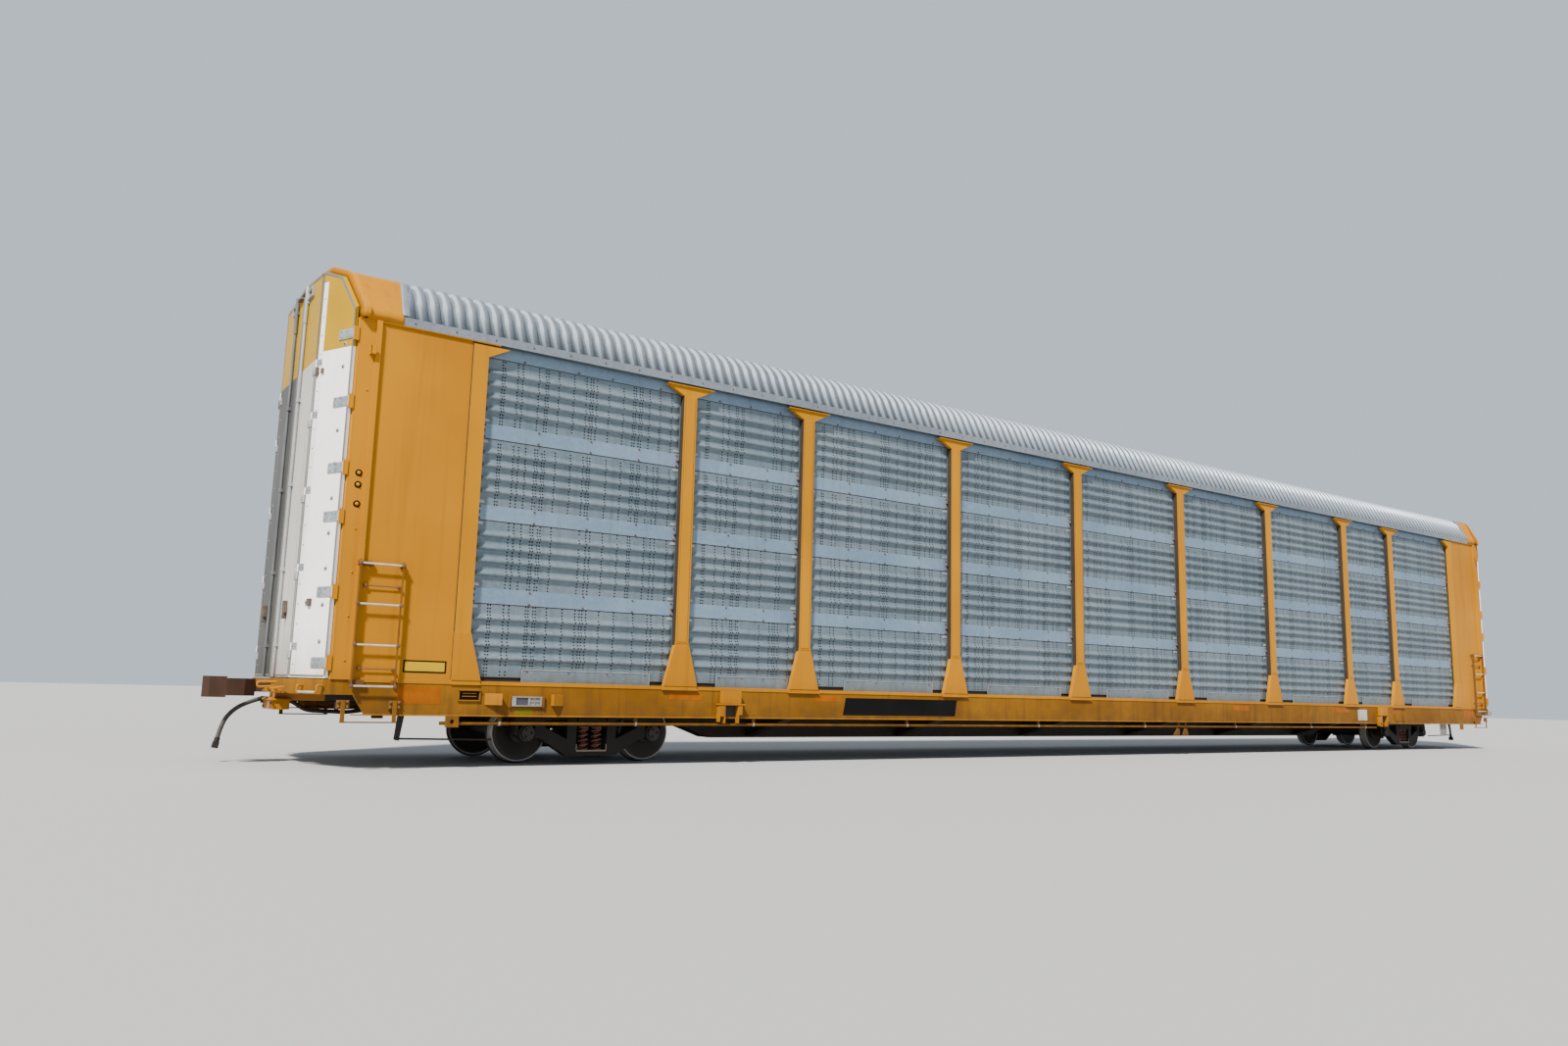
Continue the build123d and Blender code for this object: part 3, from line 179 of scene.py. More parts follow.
ochre = weathered("ochre_enamel", (0.46, 0.185, 0.0005), (0.36, 0.138, 0.0005), (0.12, 0.046, 0.006), 0.48,
                  patch=0.5, runs=0.25, splash=(0.45, 1.1), gloss=0.18)
sill_ochre = weathered("dusty_sill_ochre", (0.262, 0.109, 0.002), (0.175, 0.068, 0.001),
                       (0.065, 0.031, 0.008), 0.6, patch=0.9, runs=0.7, splash=(0.56, 1.08), grain=0.25,
                       gloss=0.15)
black_tones = (0.010, 0.008, 0.006), (0.022, 0.016, 0.011), (0.045, 0.030, 0.018)
underframe = weathered("underframe_black", *black_tones, 0.75, patch=1.2, runs=0.3, splash=(0.2, 0.9),
                       grain=0.4)
worn_deck = weathered("worn_deck_paint", (0.05, 0.047, 0.044), (0.09, 0.083, 0.076), (0.07, 0.042, 0.024),
                      0.7, patch=1.0, runs=0.0, splash=(0.1, 0.2), grain=0.4)
end_paint = weathered("draft_sill_paint", *black_tones, 0.6, patch=1.2, runs=0.3, splash=(0.2, 0.9),
                      grain=0.4)
end_tree = end_paint.node_tree
along_car = add(end_tree, "SeparateXYZ", {0: add(end_tree, "TexCoord").outputs["Object"]}).outputs[0]
from_middle = add(end_tree, "Math", {0: along_car}, operation="ABSOLUTE").outputs[0]
end_ochre = (0.36, 0.14, 0.003, 1.0)
painted_over(end_paint, ramp(end_tree, from_middle, 13.02, 13.03), end_ochre)
dress(sill_ochre, "side_sills", "end_platforms", "side_pipe", "tow_eyes")
dress(underframe, "centre_sill", "cross_bearers", "body_bolsters", "brake_gear", "hand_brake")
dress(worn_deck, "lower_deck", "upper_deck")
dress(end_paint, "draft_sills")


# Side sills: orange reflector sheets, blank plates and a greenish patch are stuck on the near sill's web.
# Both sills have rolled edges on their flanges, painted in a lighter ochre than the web as a highlight, and
# a steel curb stands on the deck behind each.
def mesh_piece(name, points, faces, material, slot, body="car_body", smooth=False, rounded=0.0):
    """A new mesh of points and lists of corners on the body that carries it. Rounded is the width of the
    bevel on its sharp edges."""
    mesh = bpy.data.meshes.new(name)
    mesh.from_pydata(np.asarray(points).reshape(-1, 3).tolist(), [], faces)
    mesh.polygons.foreach_set("use_smooth", [smooth] * len(mesh.polygons))
    mesh.materials.append(material)
    piece = placed(name, mesh)
    if rounded:
        bevel = piece.modifiers.new("rounded_edges", "BEVEL")
        bevel.width = rounded
        bevel.segments = 2
    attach(piece, body)
    return piece


def between(pairs):
    """Eight corners of each bar whose opposite corners are given: the low corner plus each of the eight
    corners of a unit cube times the bar's size."""
    pairs = np.array(pairs, float).reshape(-1, 2, 3)
    cube = np.array([(0, 0, 0), (1, 0, 0), (1, 1, 0), (0, 1, 0), (0, 0, 1), (1, 0, 1), (1, 1, 1), (0, 1, 1)])
    return pairs[:, :1] + (pairs[:, 1:] - pairs[:, :1]) * cube


def bars(corners):
    """Points and faces of straight bars and plates, each given by two opposite corners or by all eight.
    Where the three edges at the first corner make a left hand, its corners are swapped, so that every face
    points outward."""
    corners = np.array(corners, float)
    corners = between(corners) if corners.shape[-2] == 2 else corners.reshape(-1, 8, 3)
    edges = corners[:, [1, 3, 4]] - corners[:, :1]
    left_hand = np.linalg.det(edges) < 0
    corners[left_hand] = corners[left_hand][:, [1, 0, 3, 2, 5, 4, 7, 6]]
    six = np.array([(0, 3, 2, 1), (4, 5, 6, 7), (0, 1, 5, 4), (1, 2, 6, 5), (2, 3, 7, 6), (3, 0, 4, 7)])
    faces = (8 * np.arange(len(corners))[:, None, None] + six).reshape(-1, 4)
    return corners.reshape(-1, 3), faces.tolist()


def slanted(quads, face, proud):
    """Eight corners of flat plates on the car's near side: each has four corners along X and Z, its back
    on the face and its front proud of it."""
    quads = np.array(quads, float).reshape(-1, 4, 2)
    back = np.insert(quads, 1, -face, axis=2)
    front = np.insert(quads, 1, -face - proud, axis=2)
    return np.concatenate((back, front), axis=1)


def both_sides(corners):
    """The same corners again on the far side, where Y changes its sign."""
    corners = np.asarray(corners, float)
    return np.concatenate((corners, corners * (1.0, -1.0, 1.0)))


def on_sill(places):
    """Places given as X, distance out of the near sill's web, and height: Y is minus the sum of the web's
    distance from the middle and the distance out."""
    return np.array(places, float) * (1.0, -1.0, 1.0) - (0.0, sill_face, 0.0)


sill_face = 1.465
reflector = weathered("reflector_sheet", (0.30, 0.082, 0.0), (0.22, 0.058, 0.0), (0.12, 0.04, 0.003), 0.45,
                      patch=6.0, runs=0.15, splash=(0.5, 0.8), gloss=0.15)
plaque_black = weathered("plaque_black", (0.002, 0.002, 0.002), (0.004, 0.004, 0.004),
                         (0.015, 0.010, 0.006), 0.65, patch=2.0, runs=0.15, splash=(0.4, 0.7), gloss=0.1)
pale_plate = weathered("pale_blank_plate", (0.50, 0.50, 0.48), (0.40, 0.40, 0.38), (0.18, 0.13, 0.08), 0.5,
                       patch=5.0)
patch_green = weathered("greenish_patch", (0.15, 0.13, 0.001), (0.12, 0.10, 0.001), (0.07, 0.045, 0.006),
                        0.6, patch=7.0, gloss=0.15)
sheets = [((low_x, 0.0, low_z), (high_x, 0.0012, high_z)) for low_x, high_x, low_z, high_z in (
    (-12.597, -12.111, 0.706, 0.896), (-9.208, -8.737, 0.805, 0.889), (-6.92, -6.476, 0.818, 0.900),
    (2.871, 3.395, 0.80, 0.89), (6.344, 7.0, 0.80, 0.89), (8.696, 9.171, 0.80, 0.89),
    (12.116, 12.6, 0.72, 0.895),
)]
mesh_piece("sill_reflectors", *bars(on_sill(sheets)), reflector, "yellow_paint")
far_plate = on_sill([((7.36, 0.0, 0.64), (7.72, 0.002, 0.865))])
mesh_piece("far_blank_plate", *bars(far_plate), pale_plate, "galvanised")
long_plate = [[(-6.43, 0.634), (-4.28, 0.634), (-4.24, 0.872), (-6.38, 0.872)]]
mesh_piece("long_blank_plate", *bars(slanted(long_plate, sill_face, 0.002)), plaque_black, "frame_black")
patch = on_sill([((-11.242, 0.0, 0.594), (-11.019, 0.0006, 0.668))])
mesh_piece("greenish_patch", *bars(patch), patch_green, "yellow_paint")
sill_top = 0.972
curb = [((-11.95, -1.350, sill_top), (11.95, -1.372, 1.036))]
mesh_piece("deck_curbs", *bars(both_sides(curb)), underframe, "frame_black", rounded=0.003)
sill_half = 13.06
# The rolled edges take the lighter ochre, a painted highlight along them.
flange_edges = on_sill([((-sill_half, 0.0, 0.926), (sill_half, 0.007, 0.9705)),
                        ((-sill_half, 0.0, 0.5755), (sill_half, 0.005, 0.590))])
mesh_piece("sill_flange_edges", *bars(both_sides(flange_edges)), ochre, "yellow_paint", rounded=0.003)


# Small fittings on the near sill: a card holder, a lamp tag in a bright frame between two guard blocks,
# hanger plates under the sill and a grey plate by the far truck, all bolted or welded to the web.
def ring_walls(rings, sides):
    """Faces between each ring of corners and the next: a corner, the one ahead of it on the next ring, and
    the neighbours of both round their rings."""
    here, column = np.meshgrid(sides * np.arange(rings - 1), np.arange(sides), indexing="ij")
    beside = (column + 1) % sides
    there = here + sides
    return np.stack((here + column, there + column, there + beside, here + beside), axis=-1).reshape(-1, 4)


def round_bar(points, radius, sides=10):
    """A circle carried along a line of points, square to its direction at each: point plus radius times
    the cosine and sine of the turn along two axes across the line. Two discs close its ends."""
    points = np.array(points, float)
    ahead = np.gradient(points, axis=0)
    ahead /= np.linalg.norm(ahead, axis=1)[:, None]
    least = np.eye(3)[np.argmin(np.abs(ahead).max(axis=0))]
    across = np.cross(ahead, least)
    across /= np.linalg.norm(across, axis=1)[:, None]
    upward = np.cross(across, ahead)
    turn = np.linspace(0.0, 2.0 * pi, sides, endpoint=False)[None, :, None]
    rings = points[:, None] + radius * (np.cos(turn) * across[:, None] + np.sin(turn) * upward[:, None])
    last = (len(points) - 1) * sides
    discs = [list(range(sides)), list(range(last + sides - 1, last - 1, -1))]
    return rings.reshape(-1, 3), ring_walls(len(points), sides).tolist() + discs


def bent(points, radius, steps=5):
    """A line whose corners are rounded: near each corner P it follows (1-t)^2 A + 2t(1-t) P + t^2 B, where
    A and B lie one radius before and after P."""
    points = np.array(points, float)
    legs = np.diff(points, axis=0)
    legs /= np.linalg.norm(legs, axis=1)[:, None]
    t = np.linspace(0.0, 1.0, steps)[None, :, None]
    corner = points[1:-1, None]
    curve = (1 - t) ** 2 * (corner - radius * legs[:-1, None]) + 2 * t * (1 - t) * corner
    curve = curve + t ** 2 * (corner + radius * legs[1:, None])
    return np.concatenate((points[:1], curve.reshape(-1, 3), points[-1:]))


def joined(*shapes):
    """Several shapes as one: each one's corner numbers move up by the number of points before it."""
    starts = np.cumsum([0] + [len(points) for points, _ in shapes])
    faces = [[start + n for n in face] for start, (_, some) in zip(starts, shapes) for face in some]
    return np.concatenate([points for points, _ in shapes]), faces


def studs(centres, outward, radius, height, sides=8):
    """Round heads of bolts and rivets: three rings of 1, 0.86 and 0.5 radius at 0, 0.55 and 1 height make a
    dome, with a disc at its foot and one on top."""
    centres = np.array(centres, float).reshape(-1, 3)
    out = np.array(outward, float) / np.linalg.norm(outward)
    across = np.cross(out, (1.0, 0.0, 0.0) if abs(out[2]) > 0.9 else (0.0, 0.0, 1.0))
    upward = np.cross(across, out)
    turn = np.linspace(0.0, 2.0 * pi, sides, endpoint=False)[:, None]
    circle = np.cos(turn) * across + np.sin(turn) * upward
    dome = np.concatenate([r * radius * circle + h * height * out
                           for r, h in ((1, 0), (0.86, 0.55), (0.5, 1))])
    points = centres[:, None] + dome
    ring = np.arange(sides)
    start = 3 * sides * np.arange(len(centres))[:, None, None]
    quads = (start + ring_walls(3, sides)).reshape(-1, 4).tolist()
    discs = np.concatenate((start + ring, start + 3 * sides - 1 - ring), axis=1).reshape(-1, sides).tolist()
    return points.reshape(-1, 3), quads + discs


def wedge(thin_x, proud_x, low, high):
    """Guard block: 4 mm thick at its thin end and 80 mm at the other, where it drops straight back. Its
    eight corners are this outline along its low edge and again along its high one."""
    plan = [(thin_x, 0.0), (proud_x, 0.0), (proud_x, 0.080), (thin_x, 0.004)]
    return [(x, out, z) for z in (low, high) for x, out in plan]


bright = weathered("bright_steel", (0.34, 0.34, 0.33), (0.46, 0.46, 0.45), (0.16, 0.10, 0.06), 0.35,
                   metal=0.6, patch=7.0, runs=0.3)
lamp_dark = weathered("lamp_window", (0.02, 0.025, 0.04), (0.04, 0.045, 0.07), (0.08, 0.06, 0.05), 0.15,
                      patch=9.0)
plate_grey = weathered("grey_plate", (0.20, 0.20, 0.195), (0.27, 0.27, 0.26), (0.12, 0.09, 0.06), 0.5,
                       patch=5.0)
fittings = [
    ((-11.920, 0.000, 0.742), (-11.656, 0.017, 0.758)), ((-11.920, 0.000, 0.858), (-11.656, 0.027, 0.875)),
    ((-11.920, 0.000, 0.758), (-11.902, 0.017, 0.858)), ((-11.674, 0.000, 0.758), (-11.656, 0.017, 0.858)),
    ((-11.870, 0.005, 0.792), (-11.706, 0.013, 0.802)), ((-11.870, 0.005, 0.826), (-11.706, 0.013, 0.836)),
    ((1.225, -0.045, 0.46), (1.285, -0.033, 0.60)), ((1.43, -0.045, 0.46), (1.49, -0.033, 0.60)),
]
lip = 0.028
for low_x, high_x, low_z, high_z in ((-11.325, -10.886, 0.680, 0.819), (8.900, 9.260, 0.628, 0.795)):
    fittings += [((low_x, 0.0, low_z), (high_x, 0.007, high_z)),
                 ((low_x, 0.0, low_z), (low_x + lip, 0.027, high_z)),
                 ((high_x - lip, 0.0, low_z), (high_x, 0.027, high_z))]
hangers = slanted([[(1.10, 0.345), (1.285, 0.345), (1.285, 0.49), (1.24, 0.50)],
                   [(1.36, 0.345), (1.545, 0.345), (1.48, 0.50), (1.44, 0.50)]], 1.42, 0.012)
mesh_piece("sill_fittings", *bars(np.concatenate((between(on_sill(fittings)), hangers))), sill_ochre,
           "yellow_paint", rounded=0.003)
# The near-black back inside the holder's frame is painted shade in its recess.
recess = on_sill([((-11.905, 0.0, 0.755), (-11.670, 0.0015, 0.862))])
mesh_piece("card_holder_back", *bars(recess), plaque_black, "frame_black")
blocks = [wedge(-11.605, -11.425, 0.705, 0.835), wedge(-10.640, -10.798, 0.705, 0.835)]
mesh_piece("guard_blocks", *bars(on_sill(blocks)), ochre, "yellow_paint", rounded=0.004)
tag_frame = on_sill([
    ((-11.287, 0.007, 0.695), (-10.920, 0.027, 0.707)), ((-11.287, 0.007, 0.795), (-10.920, 0.027, 0.807)),
    ((-11.287, 0.007, 0.707), (-11.235, 0.025, 0.795)), ((-10.945, 0.007, 0.707), (-10.920, 0.027, 0.795)),
    ((-11.088, 0.007, 0.707), (-11.067, 0.023, 0.795)), ((-11.067, 0.007, 0.745), (-10.945, 0.021, 0.756)),
    ((-11.012, 0.007, 0.707), (-11.003, 0.021, 0.795)),
])
mesh_piece("lamp_tag_frame", *bars(tag_frame), bright, "galvanised", rounded=0.002)
window = on_sill([((-11.235, 0.007, 0.704), (-11.088, 0.015, 0.798))])
mesh_piece("lamp_tag_window", *bars(window), lamp_dark, "frame_black", rounded=0.001)
grey_parts = on_sill([((-11.067, 0.007, 0.704), (-10.945, 0.013, 0.798)),
                      ((11.04, -0.065, 0.34), (11.33, -0.053, 0.62))])
mesh_piece("grey_sill_plates", *bars(grey_parts), plate_grey, "galvanised", rounded=0.002)


# Jacking brackets: a box over a flange and two legs, welded to the sill in line with each end of the deep
# centre sill, so that the car can be lifted there.
def repeated(pairs, places):
    """The same bars at each of several places along the car: the place's X is added to every corner's."""
    moves = np.multiply.outer(places, (1.0, 0.0, 0.0))
    return (np.array(pairs, float) + moves[:, None, None]).reshape(-1, 2, 3)


jack_x = (-8.315, 8.315)
bracket = on_sill([
    ((-0.145, 0.0, 0.765), (0.145, 0.070, 0.925)), ((-0.205, 0.0, 0.745), (0.205, 0.080, 0.765)),
    ((-0.190, 0.0, 0.530), (-0.172, 0.073, 0.745)), ((-0.172, 0.061, 0.600), (-0.100, 0.073, 0.745)),
    ((-0.112, 0.0, 0.515), (-0.094, 0.073, 0.745)), ((0.098, 0.0, 0.515), (0.116, 0.073, 0.745)),
    ((0.116, 0.061, 0.620), (0.165, 0.073, 0.745)),
])
jacks = mesh_piece("jacking_brackets", *bars(both_sides(repeated(bracket, jack_x))), ochre, "yellow_paint",
                   rounded=0.004)
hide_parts("jack_pads")
# A black sheet in the opening under each box is painted shade.
mouth = on_sill([((-0.094, 0.0, 0.592), (0.098, 0.0022, 0.745))])
mesh_piece("jacking_mouths", *bars(both_sides(repeated(mouth, jack_x))), underframe, "frame_black")


# Pipe clamps: light steel clips that hold the long pipe under the near sill, each with a bolt head on its
# face. They stand closer together towards the near end.
clamp_x = -12.09 + np.array([0.69, 2.44, 4.19, 6.89, 9.69, 12.39, 15.09, 17.69, 19.79])
clips = repeated([((-0.014, -1.441, 0.474), (0.014, -1.397, 0.520))], clamp_x)
clip_bolts = studs([(x, -1.441, 0.497) for x in clamp_x], (0, -1, 0), 0.013, 0.012)
mesh_piece("pipe_clamps", *joined(bars(clips), clip_bolts), plate_grey, "rod_steel")


# Rack posts: folded steel sections. A separate flared plate is lapped over the foot of each and welded to
# the sill, and a gusset with a turned lip carries the eave.
post_ochre = weathered("post_ochre", (0.46, 0.192, 0.0), (0.39, 0.158, 0.0), (0.18, 0.07, 0.004), 0.45,
                       patch=0.6, runs=0.25, splash=(0.6, 1.3), gloss=0.18)
seam_dark = weathered("seam_shadow", (0.02, 0.012, 0.006), (0.03, 0.018, 0.009), (0.01, 0.008, 0.006), 0.8,
                      patch=4.0)
dress(post_ochre, "posts")
dress(ochre, "corner_posts", "end_panels")
long_bay, short_bay = 2.85, 1.942
bays = np.array([long_bay, short_bay] + [long_bay] * 5 + [short_bay, long_bay])
post_x = np.concatenate(([0.0], np.cumsum(bays))) - bays.sum() / 2
post_face = 1.48
foot_top = 1.512
spans = list(zip(post_x, post_x[1:]))
inner = post_x[1:-1]
feet = [[(x - 0.246, sill_top), (x + 0.246, sill_top), (x + 0.099, foot_top), (x - 0.099, foot_top)]
        for x in inner]
feet += [[(end * 12.012, sill_top), (end * 11.671, sill_top), (end * 11.818, foot_top),
          (end * 12.012, foot_top)] for end in (-1, 1)]
foot_lips = repeated([((-0.101, -1.45, 1.508), (0.101, -1.491, 1.522)),
                      ((-0.262, -1.465, 0.920), (0.262, -1.494, 0.930))], inner)
foot_plates = np.concatenate((slanted(feet, post_face, 0.007), between(foot_lips)))
mesh_piece("post_foot_plates", *bars(both_sides(foot_plates)), ochre, "yellow_paint", rounded=0.003)
shelf_and_face = repeated([((-0.35, -1.44, 4.862), (0.35, -1.500, 4.876)),
                           ((-0.070, -1.478, 1.53), (0.070, -1.4855, 4.735))], inner)
mesh_piece("post_face_plates", *bars(both_sides(shelf_and_face)), post_ochre, "yellow_paint", rounded=0.004)
# Thin dark strips beside each post and beside its face plate are painted shade in the gaps there.
seams = repeated([pair for hand in (-1, 1) for pair in (
    ((hand * 0.0965, -1.40, 0.985), (hand * 0.103, -1.474, 4.74)),
    ((hand * 0.0715, -1.475, 1.535), (hand * 0.0755, -1.4805, 4.73)),
)], inner)
end_seams = [((end * 12.008, -1.44, 0.985), (end * 12.0145, -1.4805, 4.90)) for end in (-1, 1)]
mesh_piece("post_edge_shade_seams", *bars(both_sides(np.concatenate((seams, end_seams)))), seam_dark,
           "frame_black")


# Side screens: galvanised sheets with four pressed ridges in each of four tiers, punched with fine holes so
# that light gets in. The ridges are round, fuller below, and run out into the sheet just short of the posts.
ridge_centres = (1.237 + 0.966 * np.arange(4)[:, None] + 0.1515 * np.arange(4)).ravel()
sheet_out, ridge_rise, ridge_above, ridge_below = 1.386, 0.034, 0.068, 0.036
run_out, run_length = 0.105, 0.055
ridge_rows = np.array([-0.049, -0.044, -0.036, -0.028, -0.019, -0.008, 0.004, 0.016, 0.028, 0.040, 0.052,
                       0.060, 0.065])


def screen_face(x, z):
    """How far out the screen's face is. Each ridge rises as half a cosine wave above its crest and a shorter
    one below, times a share that grows smoothly from 0 to 1, as 3s^2 - 2s^3, just beyond each post."""
    offset = z[..., None] - (ridge_centres - 0.008)
    reach = np.where(offset > 0, ridge_above, ridge_below)
    wave = 0.5 + 0.5 * np.cos(pi * np.clip(np.abs(offset) / reach, 0.0, 1.0))
    near = np.abs(x[..., None] - post_x).min(axis=-1)
    share = np.clip((near - run_out) / run_length, 0.0, 1.0)
    return sheet_out + ridge_rise * wave.max(axis=-1) * share ** 2 * (3.0 - 2.0 * share)


def sheet_grid(x, y, z):
    """Points and faces of a sheet over a grid of places: each face joins a place, the one in the next row,
    that one's neighbour and its own neighbour."""
    points = np.stack(np.broadcast_arrays(x, y, z), axis=-1)
    rows, columns = points.shape[:2]
    corner = (np.arange(rows - 1)[:, None] * columns + np.arange(columns - 1)).ravel()
    quads = np.stack((corner, corner + columns, corner + columns + 1, corner + 1), axis=-1)
    return points.reshape(-1, 3), quads.tolist()


def give_wall(sheet, thickness):
    """Thickens a sheet evenly towards its back by the given thickness."""
    sheet.modifiers.new("sheet_wall", "SOLIDIFY").thickness = thickness


zinc = weathered("galvanised_screen", (0.105, 0.145, 0.175), (0.145, 0.185, 0.215), (0.05, 0.055, 0.055),
                 0.42, metal=0.30, patch=0.7, runs=0.4, splash=(0.8, 1.2), grain=0.25, spangle=0.3)
from_post = np.array([0.0, 0.098, 0.105, 0.115, 0.125, 0.136, 0.148, 0.16, 0.165])
columns_x = [np.concatenate((start + from_post, [(start + stop) / 2], stop - from_post[::-1]))
             for start, stop in spans]
columns_x = np.unique(np.concatenate(columns_x).round(5))
rows_z = np.concatenate(([1.02, 1.024], (ridge_centres[:, None] + ridge_rows).ravel(), [4.99, 5.0]))
grid_x, grid_z = np.meshgrid(columns_x, rows_z, indexing="ij")
for name, side in (("near", -1), ("far", 1)):
    face = side * screen_face(grid_x, grid_z)[::-side]
    screen = mesh_piece(f"screen_sheets_{name}", *sheet_grid(grid_x[::-side], face, grid_z[::-side]), zinc,
                        "galvanised", smooth=True)
    give_wall(screen, 0.006)
    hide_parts("side_screens")


# Holes of the screens: openings about 20 mm across, punched in upright rows that stand in uneven groups.
# Each is a dark six-sided cap on the sheet's face, painted shade for the dark inside of the car seen through
# it.
hole_dark = weathered("hole_shadow", (0.004, 0.005, 0.006), (0.007, 0.008, 0.009), (0.003, 0.003, 0.003),
                      0.9, patch=9.0, gloss=0.1)
hole_offsets = np.array([0.309, 0.339, 0.499, 0.563, 0.653, 0.769, 0.801, 0.861, 0.892, 1.031, 1.232, 1.400,
                         1.455, 1.490, 1.542, 1.712, 1.916, 2.059, 2.091, 2.148, 2.182, 2.289, 2.384, 2.440,
                         2.617, 2.650])
tiers = np.array([(1.045, 1.845), (2.05, 2.81), (3.015, 3.775), (3.98, 4.755)])
hole_pitch, open_share, kept_share = 0.038, 0.86, 0.97
hole_z = np.concatenate([np.arange(low, high, hole_pitch) for low, high in tiers])
hole_x = np.concatenate([start + hole_offsets[hole_offsets < length - 0.22]
                         for start, length in zip(post_x, bays)])
centre_x, centre_z = np.meshgrid(hole_x, hole_z, indexing="ij")
seed = np.random.default_rng(7)
tier_of = (hole_z[:, None] > tiers[:, 1]).sum(axis=1)
open_rows = (seed.random((len(hole_x), 4)) < open_share)[:, tier_of]
keep = open_rows & (seed.random(centre_x.shape) < kept_share)
six_turns = np.arange(6) * pi / 3 + pi / 6
rim_x = centre_x[keep][:, None] + 0.0112 * np.cos(six_turns)
rim_z = centre_z[keep][:, None] + 0.0100 * np.sin(six_turns)
cap_faces = np.arange(rim_x.size).reshape(-1, 6)
for name, side in (("near", -1), ("far", 1)):
    caps = np.stack((rim_x, side * (screen_face(rim_x, rim_z) + 0.0008), rim_z), axis=-1)
    mesh_piece(f"screen_holes_{name}", caps, cap_faces[:, ::-side].tolist(), hole_dark, "frame_black")


# Bands of the screens: plain galvanised strips that cover the joints between the sheets, bolted along both
# edges, with pale tabs where they meet the posts. The top strip is the header under the eave.
def studs_both_sides(spots, radius, height):
    """Bolt heads at places on the near side, facing outward, and again on the far side with Y changed in
    sign."""
    return joined(*[studs(np.array(spots) * (1, -side, 1), (0, side, 0), radius, height)
                    for side in (-1, 1)])


zinc_band = weathered("galvanised_band", (0.145, 0.215, 0.30), (0.19, 0.265, 0.345), (0.08, 0.09, 0.10),
                      0.38, metal=0.3, patch=0.9, runs=0.25, splash=(0.8, 1.2), spangle=0.2)
rust = weathered("rusty_bolts", (0.085, 0.038, 0.018), (0.14, 0.062, 0.028), (0.04, 0.022, 0.014), 0.8,
                 patch=12.0, grain=0.6)
pale_zinc = weathered("pale_zinc", (0.30, 0.32, 0.33), (0.40, 0.42, 0.42), (0.14, 0.10, 0.07), 0.45,
                      metal=0.4, patch=8.0)
band_back, band_front = -1.384, -1.391
header_z = 4.767
strips, shadows, tabs, bolt_spots, side_spots = [], [], [], [], []
for start, stop in spans:
    wide = stop - start > short_bay + 0.5
    for low, high in ((1.860, 2.035), (2.826, 3.001), (3.792, 3.967), (header_z, 4.905)):
        strips.append(((start + 0.10, band_back, low), (stop - 0.10, band_front, high)))
        # A dark strip just below each band is the painted shadow of its lower edge.
        shadows.append(((start + 0.10, band_back, low - 0.009), (stop - 0.10, -1.3875, low)))
        if low == header_z:
            offsets = (0.575, 1.285, 1.750, 2.440) if wide else (0.50, 1.00, 1.50)
            bolt_spots += [(start + offset, band_front, low + 0.018) for offset in offsets]
            continue
        offsets = (0.135, 0.806, 1.495, 2.165, 2.715) if wide else (0.135, 0.70, 1.30, 1.807)
        bolt_spots += [(start + offset, band_front, z) for offset in offsets
                       for z in (low + 0.018, high - 0.018)]
        side_spots += [(x, band_front, (low + high) / 2) for x in (start + 0.122, stop - 0.122)]
        for x, hand in ((start + 0.105, 1), (stop - 0.105, -1)):
            tabs += [[(x, z), (x + hand * 0.085, z), (x + hand * 0.07, z + 0.033), (x, z + 0.033)]
                     for z in (low - 0.055, high + 0.022)]
mesh_piece("screen_bands", *bars(both_sides(strips)), zinc_band, "galvanised", rounded=0.002)
mesh_piece("band_edge_shadows", *bars(both_sides(shadows)), seam_dark, "frame_black")
mesh_piece("band_tabs", *bars(both_sides(slanted(tabs, -band_back, 0.007))), pale_zinc, "galvanised")
mesh_piece("band_bolts", *studs_both_sides(bolt_spots, 0.014, 0.012), rust, "spring_steel", smooth=True)
mesh_piece("post_side_bolts", *studs_both_sides(side_spots, 0.021, 0.030), rust, "spring_steel", smooth=True)


# Kick plates and fascia: galvanised strips at the foot of the screens and along the eaves, each held by a
# row of bolts. A kick plate has a turned lip along its top and down its sides, in pale zinc as a painted
# highlight on its edges.
kick_zinc = weathered("kick_plate_zinc", (0.12, 0.155, 0.185), (0.17, 0.205, 0.235), (0.08, 0.07, 0.05),
                      0.45, metal=0.3, patch=1.5, runs=0.5, splash=(0.9, 1.15), spangle=0.3)
roof_zinc = weathered("galvanised_roof_sheet", (0.155, 0.182, 0.215), (0.200, 0.226, 0.260),
                      (0.08, 0.07, 0.06), 0.40, metal=0.25, patch=0.5, runs=0.3, splash=(1.0, 2.0),
                      spangle=0.25, gloss=0.12)
dress(kick_zinc, "kick_plates")
dress(zinc, "deck_ledgers")
dress(roof_zinc, "eave_rails")
plate_lips, plate_spots = [], []
for start, stop in spans:
    middle, half = (start + stop) / 2 + 0.18, 0.845 * (stop - start) / long_bay
    plate_lips += [((middle - half, band_back, 1.112), (middle + half, -1.399, 1.121)),
                   ((middle - half, -1.388, 0.975), (middle - half + 0.007, -1.397, 1.112)),
                   ((middle + half - 0.007, -1.388, 0.975), (middle + half, -1.397, 1.112))]
    plate_spots += [(middle + share * 2 * half, -1.394, 1.095) for share in (-0.46, -0.15, 0.15, 0.46)]
# The pale lips are a painted highlight along the kick plates' edges.
mesh_piece("kick_plate_lips", *bars(both_sides(plate_lips)), pale_zinc, "galvanised")
eave_spots = [(x, -1.49, 4.955) for x in np.arange(-12.7, 12.75, 0.475)]
mesh_piece("strip_bolts", *studs_both_sides(plate_spots + eave_spots, 0.011, 0.008), rust, "spring_steel",
           smooth=True)


